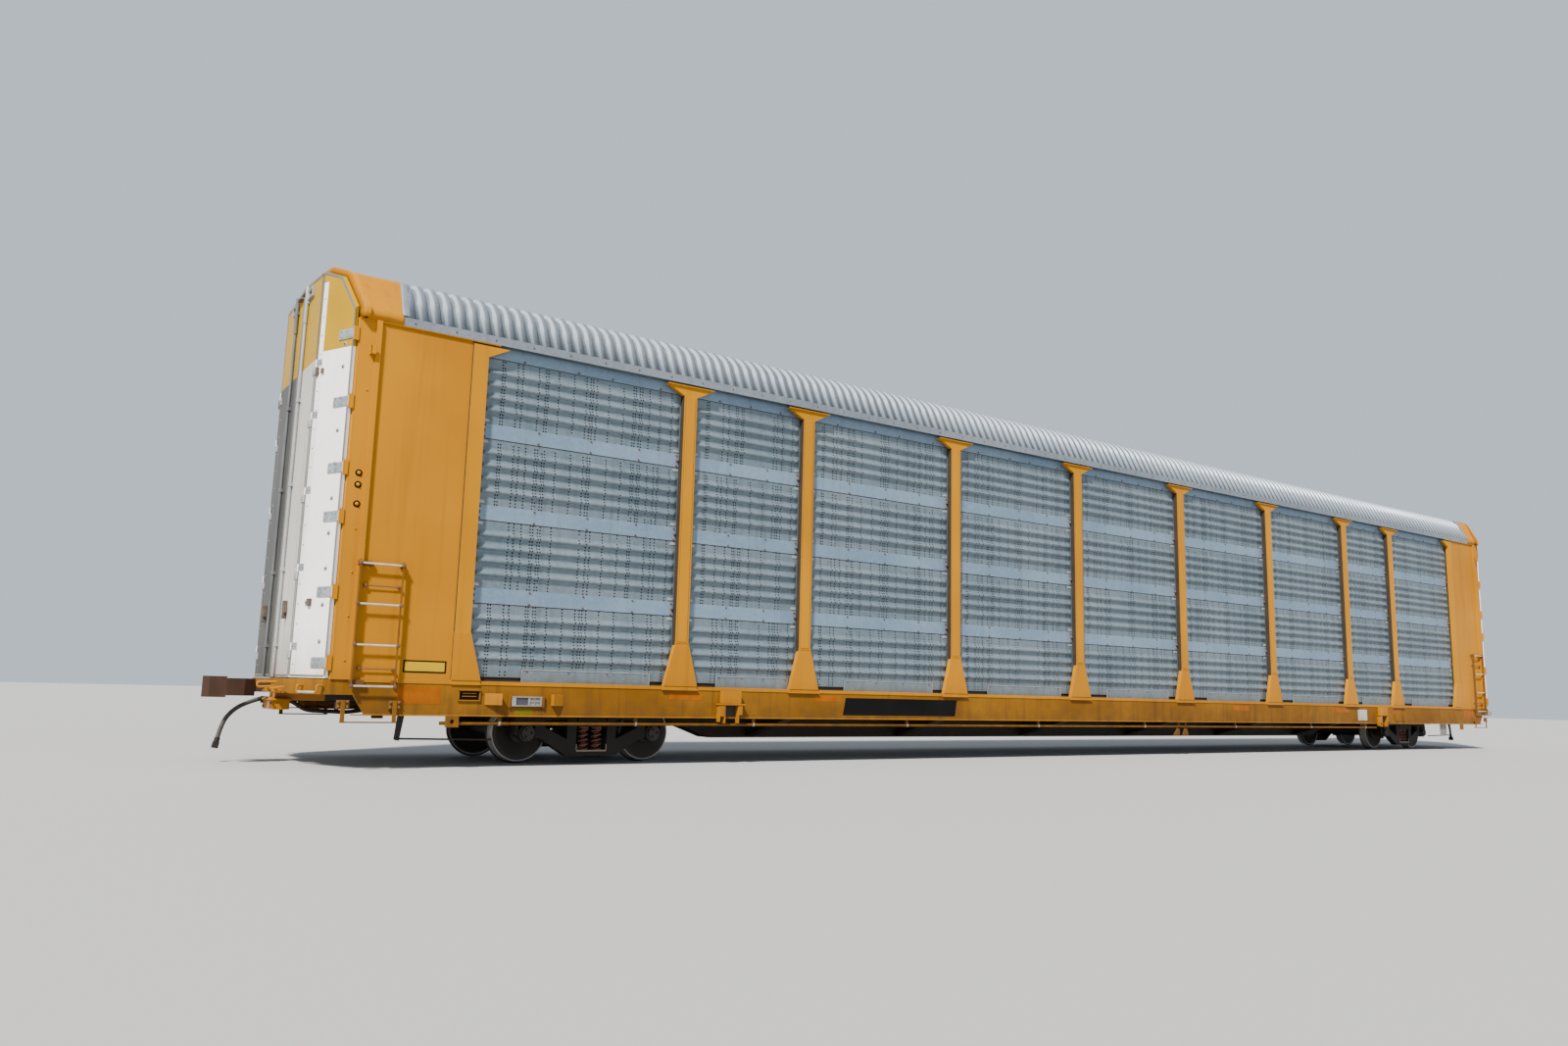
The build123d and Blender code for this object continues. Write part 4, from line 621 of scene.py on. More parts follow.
# End panels and corner posts: plain sheets in ochre with a yellow notice plate edged in black, left blank,
# three ringed bolts on the near corner post, and a small bracket near the top of every corner post.
ringed = np.array([(-13.180, -post_face, 3.170), (-13.180, -post_face, 3.041), (-13.176, -post_face, 2.829)])
mesh_piece("bolt_rings", *studs(ringed, (0, -1, 0), 0.040, 0.004, 16), plaque_black, "frame_black",
           smooth=True)
mesh_piece("ringed_bolts", *studs(ringed - (0, 0.004, 0), (0, -1, 0), 0.022, 0.016, 12), ochre,
           "yellow_paint", smooth=True)
corner_spots = [(end * 13.17, -post_face, z) for end in (-1, 1)
                for z in (1.15, 1.62, 2.09, 2.56, 4.10, 4.55)]
mesh_piece("corner_post_rivets", *studs_both_sides(corner_spots, 0.012, 0.009), ochre, "yellow_paint",
           smooth=True)
top_brackets = [pair for end in (-1, 1) for pair in (
    ((end * 13.175, -post_face, 4.50), (end * 13.163, -1.546, 4.60)),
    ((end * 13.175, -1.536, 4.50), (end * 13.118, -1.546, 4.60)),
)]
mesh_piece("corner_top_brackets", *bars(both_sides(top_brackets)), ochre, "yellow_paint", rounded=0.003)
top_strips = [((end * 11.68, 1.452, 4.892), (end * 13.30, 1.488, 4.907)) for end in (-1, 1)]
mesh_piece("panel_top_strips", *bars(both_sides(top_strips)), ochre, "yellow_paint", rounded=0.002)
notice_yellow = weathered("notice_yellow", (0.48, 0.30, 0.0), (0.42, 0.25, 0.0), (0.2, 0.11, 0.01), 0.5,
                          patch=5.0, runs=0.15, gloss=0.15)
notice = on_sill([((-12.53, 0.002, 1.06), (-12.09, 0.0045, 1.165))])
mesh_piece("notice_face", *bars(notice), notice_yellow, "yellow_paint")
edging = on_sill([
    ((-12.548, 0.002, 1.045), (-12.073, 0.0055, 1.061)), ((-12.548, 0.002, 1.163), (-12.073, 0.0055, 1.179)),
    ((-12.548, 0.002, 1.061), (-12.531, 0.0055, 1.163)), ((-12.090, 0.002, 1.061), (-12.073, 0.0055, 1.163)),
])
mesh_piece("notice_edging", *bars(edging), plaque_black, "frame_black")


# Roof: galvanised sheet corrugated across the car and rolled over the haunch in one soft bend. The ribs are
# 150 mm apart and 42 mm deep, with flat crests, steep flanks and narrower valleys, and sink into the eaves.
def outward(line):
    """Unit directions square to a line across the car, pointing out of it: the direction along the line
    turned by a quarter."""
    ahead = np.gradient(line, axis=0)
    ahead /= np.linalg.norm(ahead, axis=1)[:, None]
    return -ahead[:, 2], ahead[:, 1]


def risen(line):
    """Share that grows evenly from 0 at the eave to 1 at the height where the ribs stand fully proud."""
    return np.clip((line[:, 2] - eave_z) / 0.315, 0.0, 1.0)


rib_zinc = weathered("corrugated_roof_sheet", (0.112, 0.134, 0.162), (0.150, 0.172, 0.202),
                     (0.07, 0.065, 0.06), 0.42, metal=0.2, patch=0.5, runs=0.35, splash=(1.0, 2.0),
                     spangle=0.25, gloss=0.12)
# The rib flanks get a lighter colour than the crests, a painted highlight of the sun on them.
flank = add(rib_zinc.node_tree, "Attribute", attribute_name="flank").outputs["Fac"]
flank_highlight = (0.36, 0.42, 0.48, 1.0)
painted_over(rib_zinc, flank, flank_highlight)
eave_y, eave_z = 1.490, 5.005
roof_end, rib_pitch, rib_count = 12.825, 0.15, 171
haunch = [(0, -eave_y, eave_z), (0, -1.185, 5.502), (0, 0.0, 5.610), (0, 1.185, 5.502), (0, eave_y, eave_z)]
fold_line = bent(haunch, 0.24, 6)
out_y, out_z = outward(fold_line)
rib_shares = np.array([0.0, 0.16, 0.19, 0.285, 0.315, 0.685, 0.715, 0.81, 0.84])
rib_heights = np.array([0.003, 0.003, 0.008, 0.040, 0.045, 0.045, 0.040, 0.008, 0.003])
rib_x = -roof_end + rib_pitch * np.append((np.arange(rib_count)[:, None] + rib_shares).ravel(), rib_count)
rib_height = np.append(np.tile(rib_heights, rib_count), 0.003)[:, None]
eave_sink, eave_lean = 0.044, 0.852
sink = eave_sink * (1.0 - risen(fold_line))
rib_y = fold_line[:, 1] + (rib_height - sink) * out_y
rib_z = fold_line[:, 2] + (rib_height - sink) * out_z
beyond_eave = (rib_height - eave_sink) / eave_lean
rib_y[:, [0, -1]] = np.concatenate((-eave_y - beyond_eave, eave_y + beyond_eave), axis=1)
rib_z[:, [0, -1]] = eave_z
ribs = mesh_piece("roof_corrugations", *sheet_grid(rib_x[:, None], rib_y, rib_z), rib_zinc,
                  "galvanised_roof", smooth=True)
flank_share = np.repeat(np.append(np.tile([0, 0, 1, 1, 0, 0, 1, 1, 0], rib_count), 0), len(fold_line))
ribs.data.attributes.new("flank", "FLOAT", "POINT").data.foreach_set("value", flank_share.astype(np.float32))
give_wall(ribs, 0.003)
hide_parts("roof_ribs", "roof_pan")


# Roof end caps: plain steel sheets in ochre, pressed to the roof's outline. Each rises to a flanged rim over
# the doors, and a galvanised strip bolted round its other end laps over the corrugation.
pin_x, pin_y, fold_x, fold_y = 13.346, 1.485, 13.6, 0.924
leaf_turn = atan2(fold_x - pin_x, pin_y - fold_y)
leaf_depth = 0.048
cap_foot, cap_join = 4.905, 12.845
cap_half = [(0, -eave_y, cap_foot), (0, -eave_y, eave_z), (0, -1.232, 5.425), (0, -0.985, 5.520),
            (0, 0.0, 5.610)]
cap_line = bent(cap_half + [(0, -y, z) for _, y, z in cap_half[-2::-1]], 0.028, 4)
out_y, out_z = outward(cap_line)
rise = np.interp(cap_line[:, 2], [cap_foot, eave_z, 5.320, 5.480], [0.001, 0.004, 0.040, 0.050])
rim_height = 0.0585
rim_back, rim_share = np.array([(-0.068, 0.0), (-0.065, 0.08), (-0.060, 1.0), (-0.003, 1.0), (0.0, 0.95),
                                (0.0, 0.25)]).T[:, :, None]
lap_x, lap_heights = np.array([(12.760, 0.001), (12.768, 0.007), (12.838, 0.009),
                               (12.846, 0.003)]).T[:, :, None]
for end, letter in ends:
    height = np.concatenate((np.tile(rise, (2, 1)), rise + rim_share * (rim_height - rise)))
    height[-1] = -0.030
    y = cap_line[:, 1] + height * out_y
    z = cap_line[:, 2] + height * out_z
    front = pin_x - leaf_depth * cos(leaf_turn)
    front = front + (pin_y - np.abs(y[2:]) - leaf_depth * sin(leaf_turn)) * tan(leaf_turn)
    front = np.minimum(front, 13.552) + rim_back
    x = np.concatenate((np.full((1, len(cap_line)), roof_end), np.full((1, len(cap_line)), cap_join), front))
    cap = mesh_piece(f"roof_end_cap_{letter}", *sheet_grid(end * x[::end], y[::end], z[::end]), ochre,
                     "yellow_paint", smooth=True)
    cap.data.set_sharp_from_angle(angle=radians(28))
    give_wall(cap, 0.006)
    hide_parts("roof_end_caps")
    foot = np.stack((end * x[3], y[3], z[3]), axis=-1)
    # A dark bar along the foot of the rim is painted shade under its step.
    mesh_piece(f"roof_rim_shade_line_{letter}", *round_bar(foot, 0.008, 6), seam_dark, "frame_black", smooth=True)
    lap_rise = np.maximum(rise, rib_heights.max() * risen(cap_line)) + lap_heights
    above_eave = cap_line[:, 2] > eave_z - 0.001
    y = (cap_line[:, 1] + lap_rise * out_y)[:, above_eave]
    z = (cap_line[:, 2] + lap_rise * out_z)[:, above_eave]
    strip = mesh_piece(f"roof_edge_strip_{letter}", *sheet_grid((end * lap_x)[::end], y[::end], z[::end]),
                       roof_zinc, "galvanised_roof", smooth=True)
    give_wall(strip, 0.003)


# End doors: steel leaves folded over on their edges, hung in pairs with rubber seals, zinc plates and lock
# rods. The outer leaf is white below and yellow at the top, the inner leaf the same in a duller white.
def two_tone(name, lower, grime, break_z, runs):
    """Door paint: yellow above the height of the break and the lower colour below it. The lower one has
    grime in thin runs, and more of it near the foot."""
    material = weathered(name, lower, tuple(0.9 * c for c in lower), grime, 0.42, patch=0.8, runs=runs,
                         splash=(0.9, 1.5), gloss=0.2)
    tree = material.node_tree
    place = add(tree, "TexCoord").outputs["Object"]
    height = add(tree, "SeparateXYZ", {0: place}).outputs[2]
    fresh, faded = (0.40, 0.232, 0.0, 1), (0.36, 0.203, 0.0, 1)
    yellow = mixed(tree, ramp(tree, cloud(tree, place, 1.5), 0.4, 0.7), fresh, faded)
    painted_over(material, ramp(tree, height, break_z, break_z + 0.004), yellow)
    return material


def on_outer_leaf(corners, end, side):
    """Places given as distance along the outer leaf from its pin, distance out of its face, and height."""
    along, out, height = np.moveaxis(np.asarray(corners, float), -1, 0)
    x = pin_x + along * sin(leaf_turn) + out * cos(leaf_turn)
    y = pin_y - along * cos(leaf_turn) + out * sin(leaf_turn)
    return np.stack((end * x, side * y, height), axis=-1)


def on_inner_leaf(corners, end, side):
    """Places given as distance from the car's middle line, distance out of the leaf's face, and height."""
    across, out, height = np.moveaxis(np.asarray(corners, float), -1, 0)
    return np.stack((end * (fold_x + out), side * across, height), axis=-1)


def seal_strips(pairs, quads):
    """Eight corners of the seals on a leaf: straight ones from opposite corners, and slanted ones from four
    corners each along the leaf and in height, 4 mm thick."""
    slopes = [[(a, out, h) for out in (0.0, 0.004) for a, h in quad] for quad in quads]
    return np.concatenate((between(pairs), slopes))


outer_paint = two_tone("outer_door_paint", (0.93, 0.92, 0.90), (0.42, 0.34, 0.26), 4.565, 0.12)
inner_paint = two_tone("inner_door_paint", (0.50, 0.48, 0.44), (0.22, 0.17, 0.13), 4.50, 0.5)
# The right inner leaf at the b end gets a dark grey below its yellow and its lock rod a dark zinc, as
# painted shade.
shaded_paint = two_tone("painted_shade_inner_door_paint", (0.075, 0.072, 0.064), (0.025, 0.02, 0.015), 4.50, 0.9)
door_white = weathered("door_trim_white", (0.88, 0.87, 0.84), (0.78, 0.77, 0.74), (0.40, 0.32, 0.25), 0.4,
                       patch=0.8, runs=0.35, splash=(0.9, 1.5))
seal = weathered("door_seal_grey", (0.12, 0.12, 0.115), (0.17, 0.17, 0.16), (0.08, 0.06, 0.045), 0.6,
                 patch=3.0)
rod_zinc = weathered("rod_zinc", (0.34, 0.36, 0.37), (0.44, 0.46, 0.46), (0.18, 0.10, 0.05), 0.4, metal=0.4,
                     patch=3.0, runs=0.5, splash=(0.9, 1.4))
shade_rod_zinc = weathered("painted_shade_rod_zinc", (0.10, 0.107, 0.11), (0.14, 0.147, 0.15), (0.07, 0.045, 0.03), 0.5,
                      metal=0.3, patch=3.0, runs=0.6, splash=(0.9, 1.4))
hinge_zinc = weathered("hinge_plate_zinc", (0.22, 0.25, 0.28), (0.32, 0.35, 0.37), (0.12, 0.09, 0.07), 0.4,
                       metal=0.4, patch=6.0, runs=0.5, splash=(0.9, 1.2), spangle=0.4)
latch_brown = weathered("latch_brown_steel", (0.075, 0.055, 0.042), (0.12, 0.09, 0.07), (0.05, 0.03, 0.02),
                        0.7, patch=14.0, runs=0.4, grain=0.4, gloss=0.3)
hinge_z = np.array([1.120, 1.869, 2.682, 3.215, 3.949, 4.714])
fold_z = np.array([1.250, 2.100, 2.950, 3.800, 4.400])
collar_z = (1.3, 2.15, 3.13, 4.124, 5.32)
top_edge = [(0.013, 4.987), (0.288, 5.412), (0.552, 5.505), (0.604, 5.509)]
top_lower = [(0.036, 4.979), (0.311, 5.387), (0.560, 5.474), (0.604, 5.478)]
outer_parts = (
    ("hinge_plates", between([((0.011, 0.0, z - 0.0565), (0.252, 0.0095, z + 0.0565)) for z in hinge_z]
                             + [((0.506, 0.0, z + 0.002), (0.598, 0.0075, z + 0.0815)) for z in fold_z]),
     hinge_zinc, "galvanised", 0.002),
    ("outer_seals", seal_strips(
        [((0.013, 0.0, 0.985), (0.034, 0.004, 4.98)), ((0.585, 0.0, 0.985), (0.602, 0.004, 5.47)),
         ((0.034, 0.0, 0.972), (0.585, 0.004, 0.992))],
        [[top_edge[n], top_lower[n], top_lower[n + 1], top_edge[n + 1]] for n in range(3)]),
     seal, "hose_rubber", 0.001),
    ("edge_strip", between([((0.508, 0.0, 0.992), (0.580, 0.0055, 5.38))]), door_white, "door_paint", 0.001),
    ("door_catches", between([
        ((0.33, 0.0, 1.72), (0.385, 0.030, 1.80)), ((0.385, 0.0, 1.735), (0.42, 0.018, 1.775)),
        ((0.545, 0.0, 4.29), (0.585, 0.030, 4.39)), ((0.465, 0.0, 4.31), (0.50, 0.022, 4.37)),
    ]), latch_brown, "spring_steel", 0.004),
)
inner_parts = (
    ("inner_seals", seal_strips(
        [((0.010, 0.0, 0.985), (0.030, 0.004, 5.58)), ((0.885, 0.0, 0.985), (0.905, 0.004, 5.50)),
         ((0.05, 0.0, 0.972), (0.88, 0.004, 0.992))],
        [[(0.905, 5.509), (0.905, 5.480), (0.02, 5.562), (0.02, 5.591)]]), seal, "hose_rubber", 0.001),
    ("fold_plates", between([((0.8135, 0.0, z - 0.0815), (0.9075, 0.0075, z - 0.002)) for z in fold_z]),
     pale_zinc, "galvanised", 0.0015),
    ("rod_keeper", between([
        ((0.29, 0.0, 5.355), (0.52, 0.030, 5.375)), ((0.29, 0.0, 5.455), (0.52, 0.030, 5.475)),
        ((0.29, 0.0, 5.375), (0.31, 0.030, 5.455)), ((0.50, 0.0, 5.375), (0.52, 0.030, 5.455)),
    ]), pale_zinc, "galvanised", 0.003),
    ("inner_latches", between([
        ((0.53, 0.0, 1.66), (0.60, 0.040, 1.74)), ((0.55, 0.0, 1.60), (0.58, 0.050, 1.80)),
        ((0.05, 0.0, 5.46), (0.20, 0.045, 5.475)), ((0.05, 0.0, 5.475), (0.20, 0.012, 5.53)),
    ]), latch_brown, "spring_steel", 0.005),
)
outer_heads = [(0.544, 0.0055, z) for z in np.arange(1.10, 5.35, 0.215)]
outer_heads += [(a, 0.0095, z + step) for z in hinge_z for a in (0.12, 0.21) for step in (-0.032, 0.032)]
outer_heads += [(a, 0.0075, z + 0.04) for z in fold_z for a in (0.53, 0.58)]
washers = np.array([(0.15, 0.0, z) for z in (1.34, 1.73, 2.12, 2.50, 2.88, 3.26, 3.63, 3.99, 4.35, 4.61)])
inner_heads = [(0.80, 0.0, z) for z in np.arange(1.10, 5.4, 0.215)]
inner_heads += [(a, 0.0075, z - 0.04) for z in fold_z for a in (0.84, 0.89)]
rod_at = (0.26, 0.024)
rod_lines = [([0.96, 3.0, 5.52], 0.017), ([5.08, 5.3, 5.525], 0.024)] + [
    ([z, z + 0.045], 0.025) for z in collar_z]
rod_seats = between([((0.215, 0.0, z), (0.305, 0.018, z + 0.04)) for z in collar_z])
corners = [(end, side, letter, hand) for end, letter in ends for side, hand in ((-1, "left"), (1, "right"))]
for end, side, letter, hand in corners:
    tag = f"{letter}_{hand}"
    outer_body, inner_body = f"outer_leaf_{tag}", f"inner_leaf_{tag}"
    # The b end's right inner leaf is the one painted in shade.
    shaded = tag == "b_right"
    dress(outer_paint, f"door_outer_{tag}")
    dress(shaded_paint if shaded else inner_paint, f"door_inner_{tag}")
    for body, place, parts in ((outer_body, on_outer_leaf, outer_parts),
                               (inner_body, on_inner_leaf, inner_parts)):
        for name, shape, material, slot, width in parts:
            mesh_piece(f"{name}_{tag}", *bars(place(shape, end, side)), material, slot, body, rounded=width)
    leaf_out = (end * cos(leaf_turn), side * sin(leaf_turn), 0.0)
    small = studs(on_outer_leaf(outer_heads, end, side), leaf_out, 0.009, 0.006)
    wide = studs(on_outer_leaf(washers, end, side), leaf_out, 0.027, 0.004, 12)
    bolt = studs(on_outer_leaf(washers + (0, 0.004, 0), end, side), leaf_out, 0.013, 0.012)
    mesh_piece(f"outer_door_washers_{tag}", *wide, pale_zinc, "galvanised", outer_body, smooth=True)
    mesh_piece(f"outer_door_bolts_{tag}", *joined(small, bolt), seal, "rod_steel", outer_body, smooth=True)
    heads = studs(on_inner_leaf(inner_heads, end, side), (end, 0, 0), 0.008, 0.006)
    mesh_piece(f"inner_door_bolts_{tag}", *heads, pale_zinc, "galvanised", inner_body, smooth=True)
    tubes = [round_bar(on_inner_leaf([(*rod_at, z) for z in heights], end, side), radius, 14)
             for heights, radius in rod_lines]
    lock_rod = mesh_piece(f"lock_rod_bar_{tag}", *joined(*tubes, bars(on_inner_leaf(rod_seats, end, side))),
                          shade_rod_zinc if shaded else rod_zinc, "rod_steel", inner_body)
    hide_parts(f"lock_rod_{tag}")


# Door hinges: on the corner post each leaf turns on an upright barrel with a short web behind it. The barrel
# is steel, welded to the post and painted with it.
hinge_half = 0.078
hinge_parts = []
for end, side, _, _ in corners:
    for z in hinge_z:
        pin = [(end * pin_x, side * pin_y, height) for height in (z - hinge_half, z, z + hinge_half)]
        hinge_parts.append(round_bar(pin, 0.0105, 12))
    hinge_parts.append(bars([((end * 13.300, side * 1.4775, z - hinge_half),
                              (end * 13.3455, side * 1.4925, z + hinge_half)) for z in hinge_z]))
hinges = mesh_piece("hinge_barrels", *joined(*hinge_parts), ochre, "yellow_paint")
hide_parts("hinge_lugs")


# Ladders: two flat rails with four round rungs riveted through them, one ladder at each corner of the car.
# Feet have worn the rungs bright, and each rung's end shows as a round head on the rail.
ladder_brown = weathered("worn_ladder_ochre", (0.155, 0.066, 0.008), (0.11, 0.045, 0.008),
                         (0.06, 0.028, 0.012), 0.6, patch=2.0, runs=0.5, splash=(0.6, 1.3), grain=0.3,
                         gloss=0.15)
worn_rung = weathered("worn_rung_steel", (0.50, 0.48, 0.45), (0.62, 0.60, 0.57), (0.28, 0.16, 0.08), 0.35,
                      metal=0.35, patch=9.0, runs=0.2)
rail_x, rail_face = (12.638, 13.095), 1.546
stand_x, stand_z = (12.66, 13.02), (1.07, 1.96)
rung_z = (0.885, 1.322, 1.759, 2.196)
rails = [((x - 0.005, 1.506, 0.865), (x + 0.005, rail_face, 2.235)) for x in rail_x]
lugs = ((12.613, 1.467, 12.663, 1.507), (12.958, 1.467, 13.008, 1.507), (12.958, 1.505, 13.12, 1.511))
rails += [((low_x, low_y, z - 0.025), (high_x, high_y, z + 0.025)) for z in (0.925, 2.195)
          for low_x, low_y, high_x, high_y in lugs]
stand_offs = [((x - 0.016, 1.467, z - 0.014), (x + 0.016, 1.507, z + 0.014))
              for x in stand_x for z in stand_z]
stand_offs += [((stand_x[0], 1.486, z - 0.006), (stand_x[1], 1.498, z + 0.006)) for z in stand_z]
for end, side, letter, hand in corners:
    flip = np.array((end, side, 1))
    ladder = mesh_piece(f"ladder_rails_{letter}_{hand}", *bars(rails * flip), ladder_brown, "yellow_paint",
                        rounded=0.002)
    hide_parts("ladders")
    rungs = [round_bar([(x, 1.526, z) for x in (rail_x[0], 12.87, rail_x[1])] * flip, 0.0105, 12)
             for z in rung_z]
    mesh_piece(f"ladder_rungs_{letter}_{hand}", *joined(*rungs), worn_rung, "rod_steel")
    mesh_piece(f"ladder_stand_offs_{letter}_{hand}", *bars(stand_offs * flip), rust, "spring_steel",
               rounded=0.004)
    heads_at = [(x, rail_face, z) for x in rail_x for z in rung_z] * flip
    fronts = studs(heads_at, (0, side, 0), 0.024, 0.0035, 10)
    mesh_piece(f"rung_heads_{letter}_{hand}", *fronts, rust, "spring_steel", smooth=True)


# Sill steps: a flat bar bent to a stirrup under each ladder, with its upper ends turned out into plates that
# are bolted to the sill.
leg_x, leg_back = (12.612, 13.150), -1.490
legs = [pair for x in leg_x for pair in (
    ((x - 0.023, leg_back, 0.500), (x + 0.023, -1.502, 0.735)),
    ((x - 0.065, -sill_face, 0.640), (x + 0.065, leg_back, 0.735)),
)] + [((12.589, -1.466, 0.498), (13.173, -1.514, 0.512))]
step_spots = [(x + move, leg_back, z) for x in leg_x for move in (-0.045, 0.045) for z in (0.662, 0.714)]
both_ends = np.array([(-1, 1, 1), (1, 1, 1)])[:, None, None]
steps = mesh_piece("sill_step_stirrups", *bars(both_sides((legs * both_ends).reshape(-1, 2, 3))), sill_ochre,
                   "yellow_paint", rounded=0.003)
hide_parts("sill_steps")
mesh_piece("sill_step_bolts", *studs_both_sides((step_spots * both_ends).reshape(-1, 3), 0.017, 0.016), rust,
           "spring_steel", smooth=True)


# Hand holds and uncoupling levers: bent round bar, bolted to the end sill. The lever reaches from the
# coupler to a loop at the side of the car.
grab = bent([(0.02, 0.015, 0.880), (0.02, 0.080, 0.880), (0.02, 0.080, 0.812), (0.34, 0.080, 0.812),
             (0.34, 0.080, 0.880), (0.34, 0.015, 0.880)], 0.018)
worn = [(a, 0.080, 0.812) for a in (0.045, 0.18, 0.315)]
for end, side, letter, hand in corners:
    mesh_piece(f"end_hand_hold_{letter}_{hand}", *round_bar(on_outer_leaf(grab, end, side), 0.011), ochre,
               "yellow_paint")
    mesh_piece(f"hand_hold_grip_{letter}_{hand}", *round_bar(on_outer_leaf(worn, end, side), 0.0117),
               worn_rung, "rod_steel")
lever = bent([(0.20, 0.10, 0.80), (0.45, 0.12, 0.84), (0.80, 0.09, 0.84), (1.02, 0.055, 0.862)], 0.05)
loop = bent([(0.62, 0.10, 0.858), (0.62, 0.24, 0.850), (0.62, 0.24, 0.905), (0.62, 0.05, 0.905)], 0.025)
brackets = between([((0.48, 0.015, 0.80), (0.52, 0.13, 0.86)), ((0.74, 0.015, 0.81), (0.78, 0.11, 0.87))])
for end, letter in ends:
    rods = [round_bar(on_inner_leaf(some, end, end), 0.012) for some in (lever, loop)]
    mesh_piece(f"uncoupling_lever_{letter}", *joined(*rods, bars(on_inner_leaf(brackets, end, end))), ochre,
               "yellow_paint")


# Train pipe: steel pipe under each end of the car, clamped below the platform. It brings the air from the
# angle cock back along the draft sill.
pipe = bent([(13.60, 0.300, 0.700), (13.30, 0.300, 0.700), (13.12, 0.34, 0.580), (12.62, 0.40, 0.560),
             (12.35, 0.40, 0.600), (11.90, 0.40, 0.640)], 0.09)
straps = np.array([((x - 0.02, 0.37, 0.565), (x + 0.02, 0.43, 0.800)) for x in (12.45, 12.75)])
for end, letter in ends:
    flip = (end, -end, 1.0)
    mesh_piece(f"train_pipe_{letter}", *joined(round_bar(pipe * flip, 0.025, 12), bars(straps * flip)),
               underframe, "frame_black")


# Coupler carriers: a box below each coupler, welded across the end of the draft sill, with a wear plate on
# top and four bolts in its face.
carrier_face = 13.605
boxes = np.array([((13.42, -0.265, 0.600), (carrier_face, 0.265, 0.728)),
                  ((13.40, -0.285, 0.700), (13.618, 0.285, 0.716)),
                  ((13.44, -0.225, 0.728), (13.60, 0.225, 0.736))])
for end, letter in ends:
    places = [(end * carrier_face, y, z) for y in (-0.21, 0.21) for z in (0.632, 0.672)]
    bolts = studs(places, (end, 0, 0), 0.016, 0.014)
    mesh_piece(f"coupler_carrier_{letter}", *bars(boxes * (end, 1, 1)), ochre, "yellow_paint", rounded=0.006)
    mesh_piece(f"carrier_bolts_{letter}", *bolts, rust, "spring_steel", smooth=True)


# Brake levers: a flat steel lever hangs from the deck ahead of each truck and pulls on a long thin rod. A
# round pin joins the two.
lever_y, pin_at = -1.0, (12.425, 0.310)
for end, letter in ends:
    flat = [[(end * x, z) for x, z in ((12.345, 0.62), (12.425, 0.62), (12.455, 0.300), (12.395, 0.285))]]
    pull = round_bar([(end * x, lever_y, z) for x, z in (pin_at, (11.9, 0.302), (11.32, 0.295))], 0.011, 10)
    pins = [studs([(end * pin_at[0], lever_y + hand * 0.006, pin_at[1])], (0, hand, 0), 0.020, 0.016, 10)
            for hand in (-1, 1)]
    mesh_piece(f"brake_lever_{letter}", *joined(bars(slanted(flat, 0.994, 0.012)), pull, *pins), underframe,
               "frame_black")


# Couplers and trucks are castings: their edges are rounded where the metal ran in the mould, and
# brown-grey road grime covers them.
def casting(name, node, width, material, body):
    """A copy of a solid's mesh with its points merged and its flat faces joined again, under a bevel that
    rounds its edges by the given width; it stands for the solid."""
    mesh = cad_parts[node].data.copy()
    work = bmesh.new()
    work.from_mesh(mesh)
    bmesh.ops.remove_doubles(work, verts=work.verts, dist=0.00002)
    bmesh.ops.dissolve_limit(work, angle_limit=radians(1.0), verts=work.verts, edges=work.edges)
    work.to_mesh(mesh)
    work.free()
    mesh.materials.clear()
    mesh.materials.append(material)
    piece = placed(name, mesh)
    bevel = piece.modifiers.new("mould_rounding", "BEVEL")
    bevel.width = width
    bevel.segments = 3
    bevel.angle_limit = radians(35)
    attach(piece, body)
    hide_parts(node)
    return piece


raw_cast = weathered("raw_cast_rust", (0.034, 0.015, 0.008), (0.055, 0.025, 0.013), (0.022, 0.013, 0.009),
                     0.75, patch=3.5, runs=0.4, splash=(0.1, 0.5), grain=0.6, gloss=0.25)
for letter in ("b", "a"):
    casting(f"coupler_casting_{letter}", f"coupler_{letter}", 0.010, raw_cast,
            f"coupler_unit_{letter}")
    casting(f"side_frame_castings_{letter}", f"side_frames_{letter}", 0.014, cast,
            f"truck_{letter}")
    casting(f"bolster_casting_{letter}", f"truck_bolster_{letter}", 0.012, cast,
            f"truck_{letter}")
    dress(cast, f"bearing_adapters_{letter}", f"brake_beams_{letter}")


# Springs: each side of a truck rests on nested coil springs of round bar, brown with rust. The side frame's
# seat below them has a bright edge, a painted highlight.
def coil(x, y, radius, wire, turns):
    """Helix of the given radius: the turn goes round evenly while the height follows a share of the way that
    is level over the first and last three quarters of a turn."""
    turn = np.linspace(0.0, turns, int(14 * turns) + 1)
    share = np.clip((turn - 0.75) / (turns - 1.5), 0.0, 1.0)
    height = spring_low + wire + (spring_high - spring_low - 2 * wire) * share
    line = np.stack((x + radius * np.cos(2 * pi * turn), y + radius * np.sin(2 * pi * turn), height), axis=1)
    return round_bar(line, wire, 8)


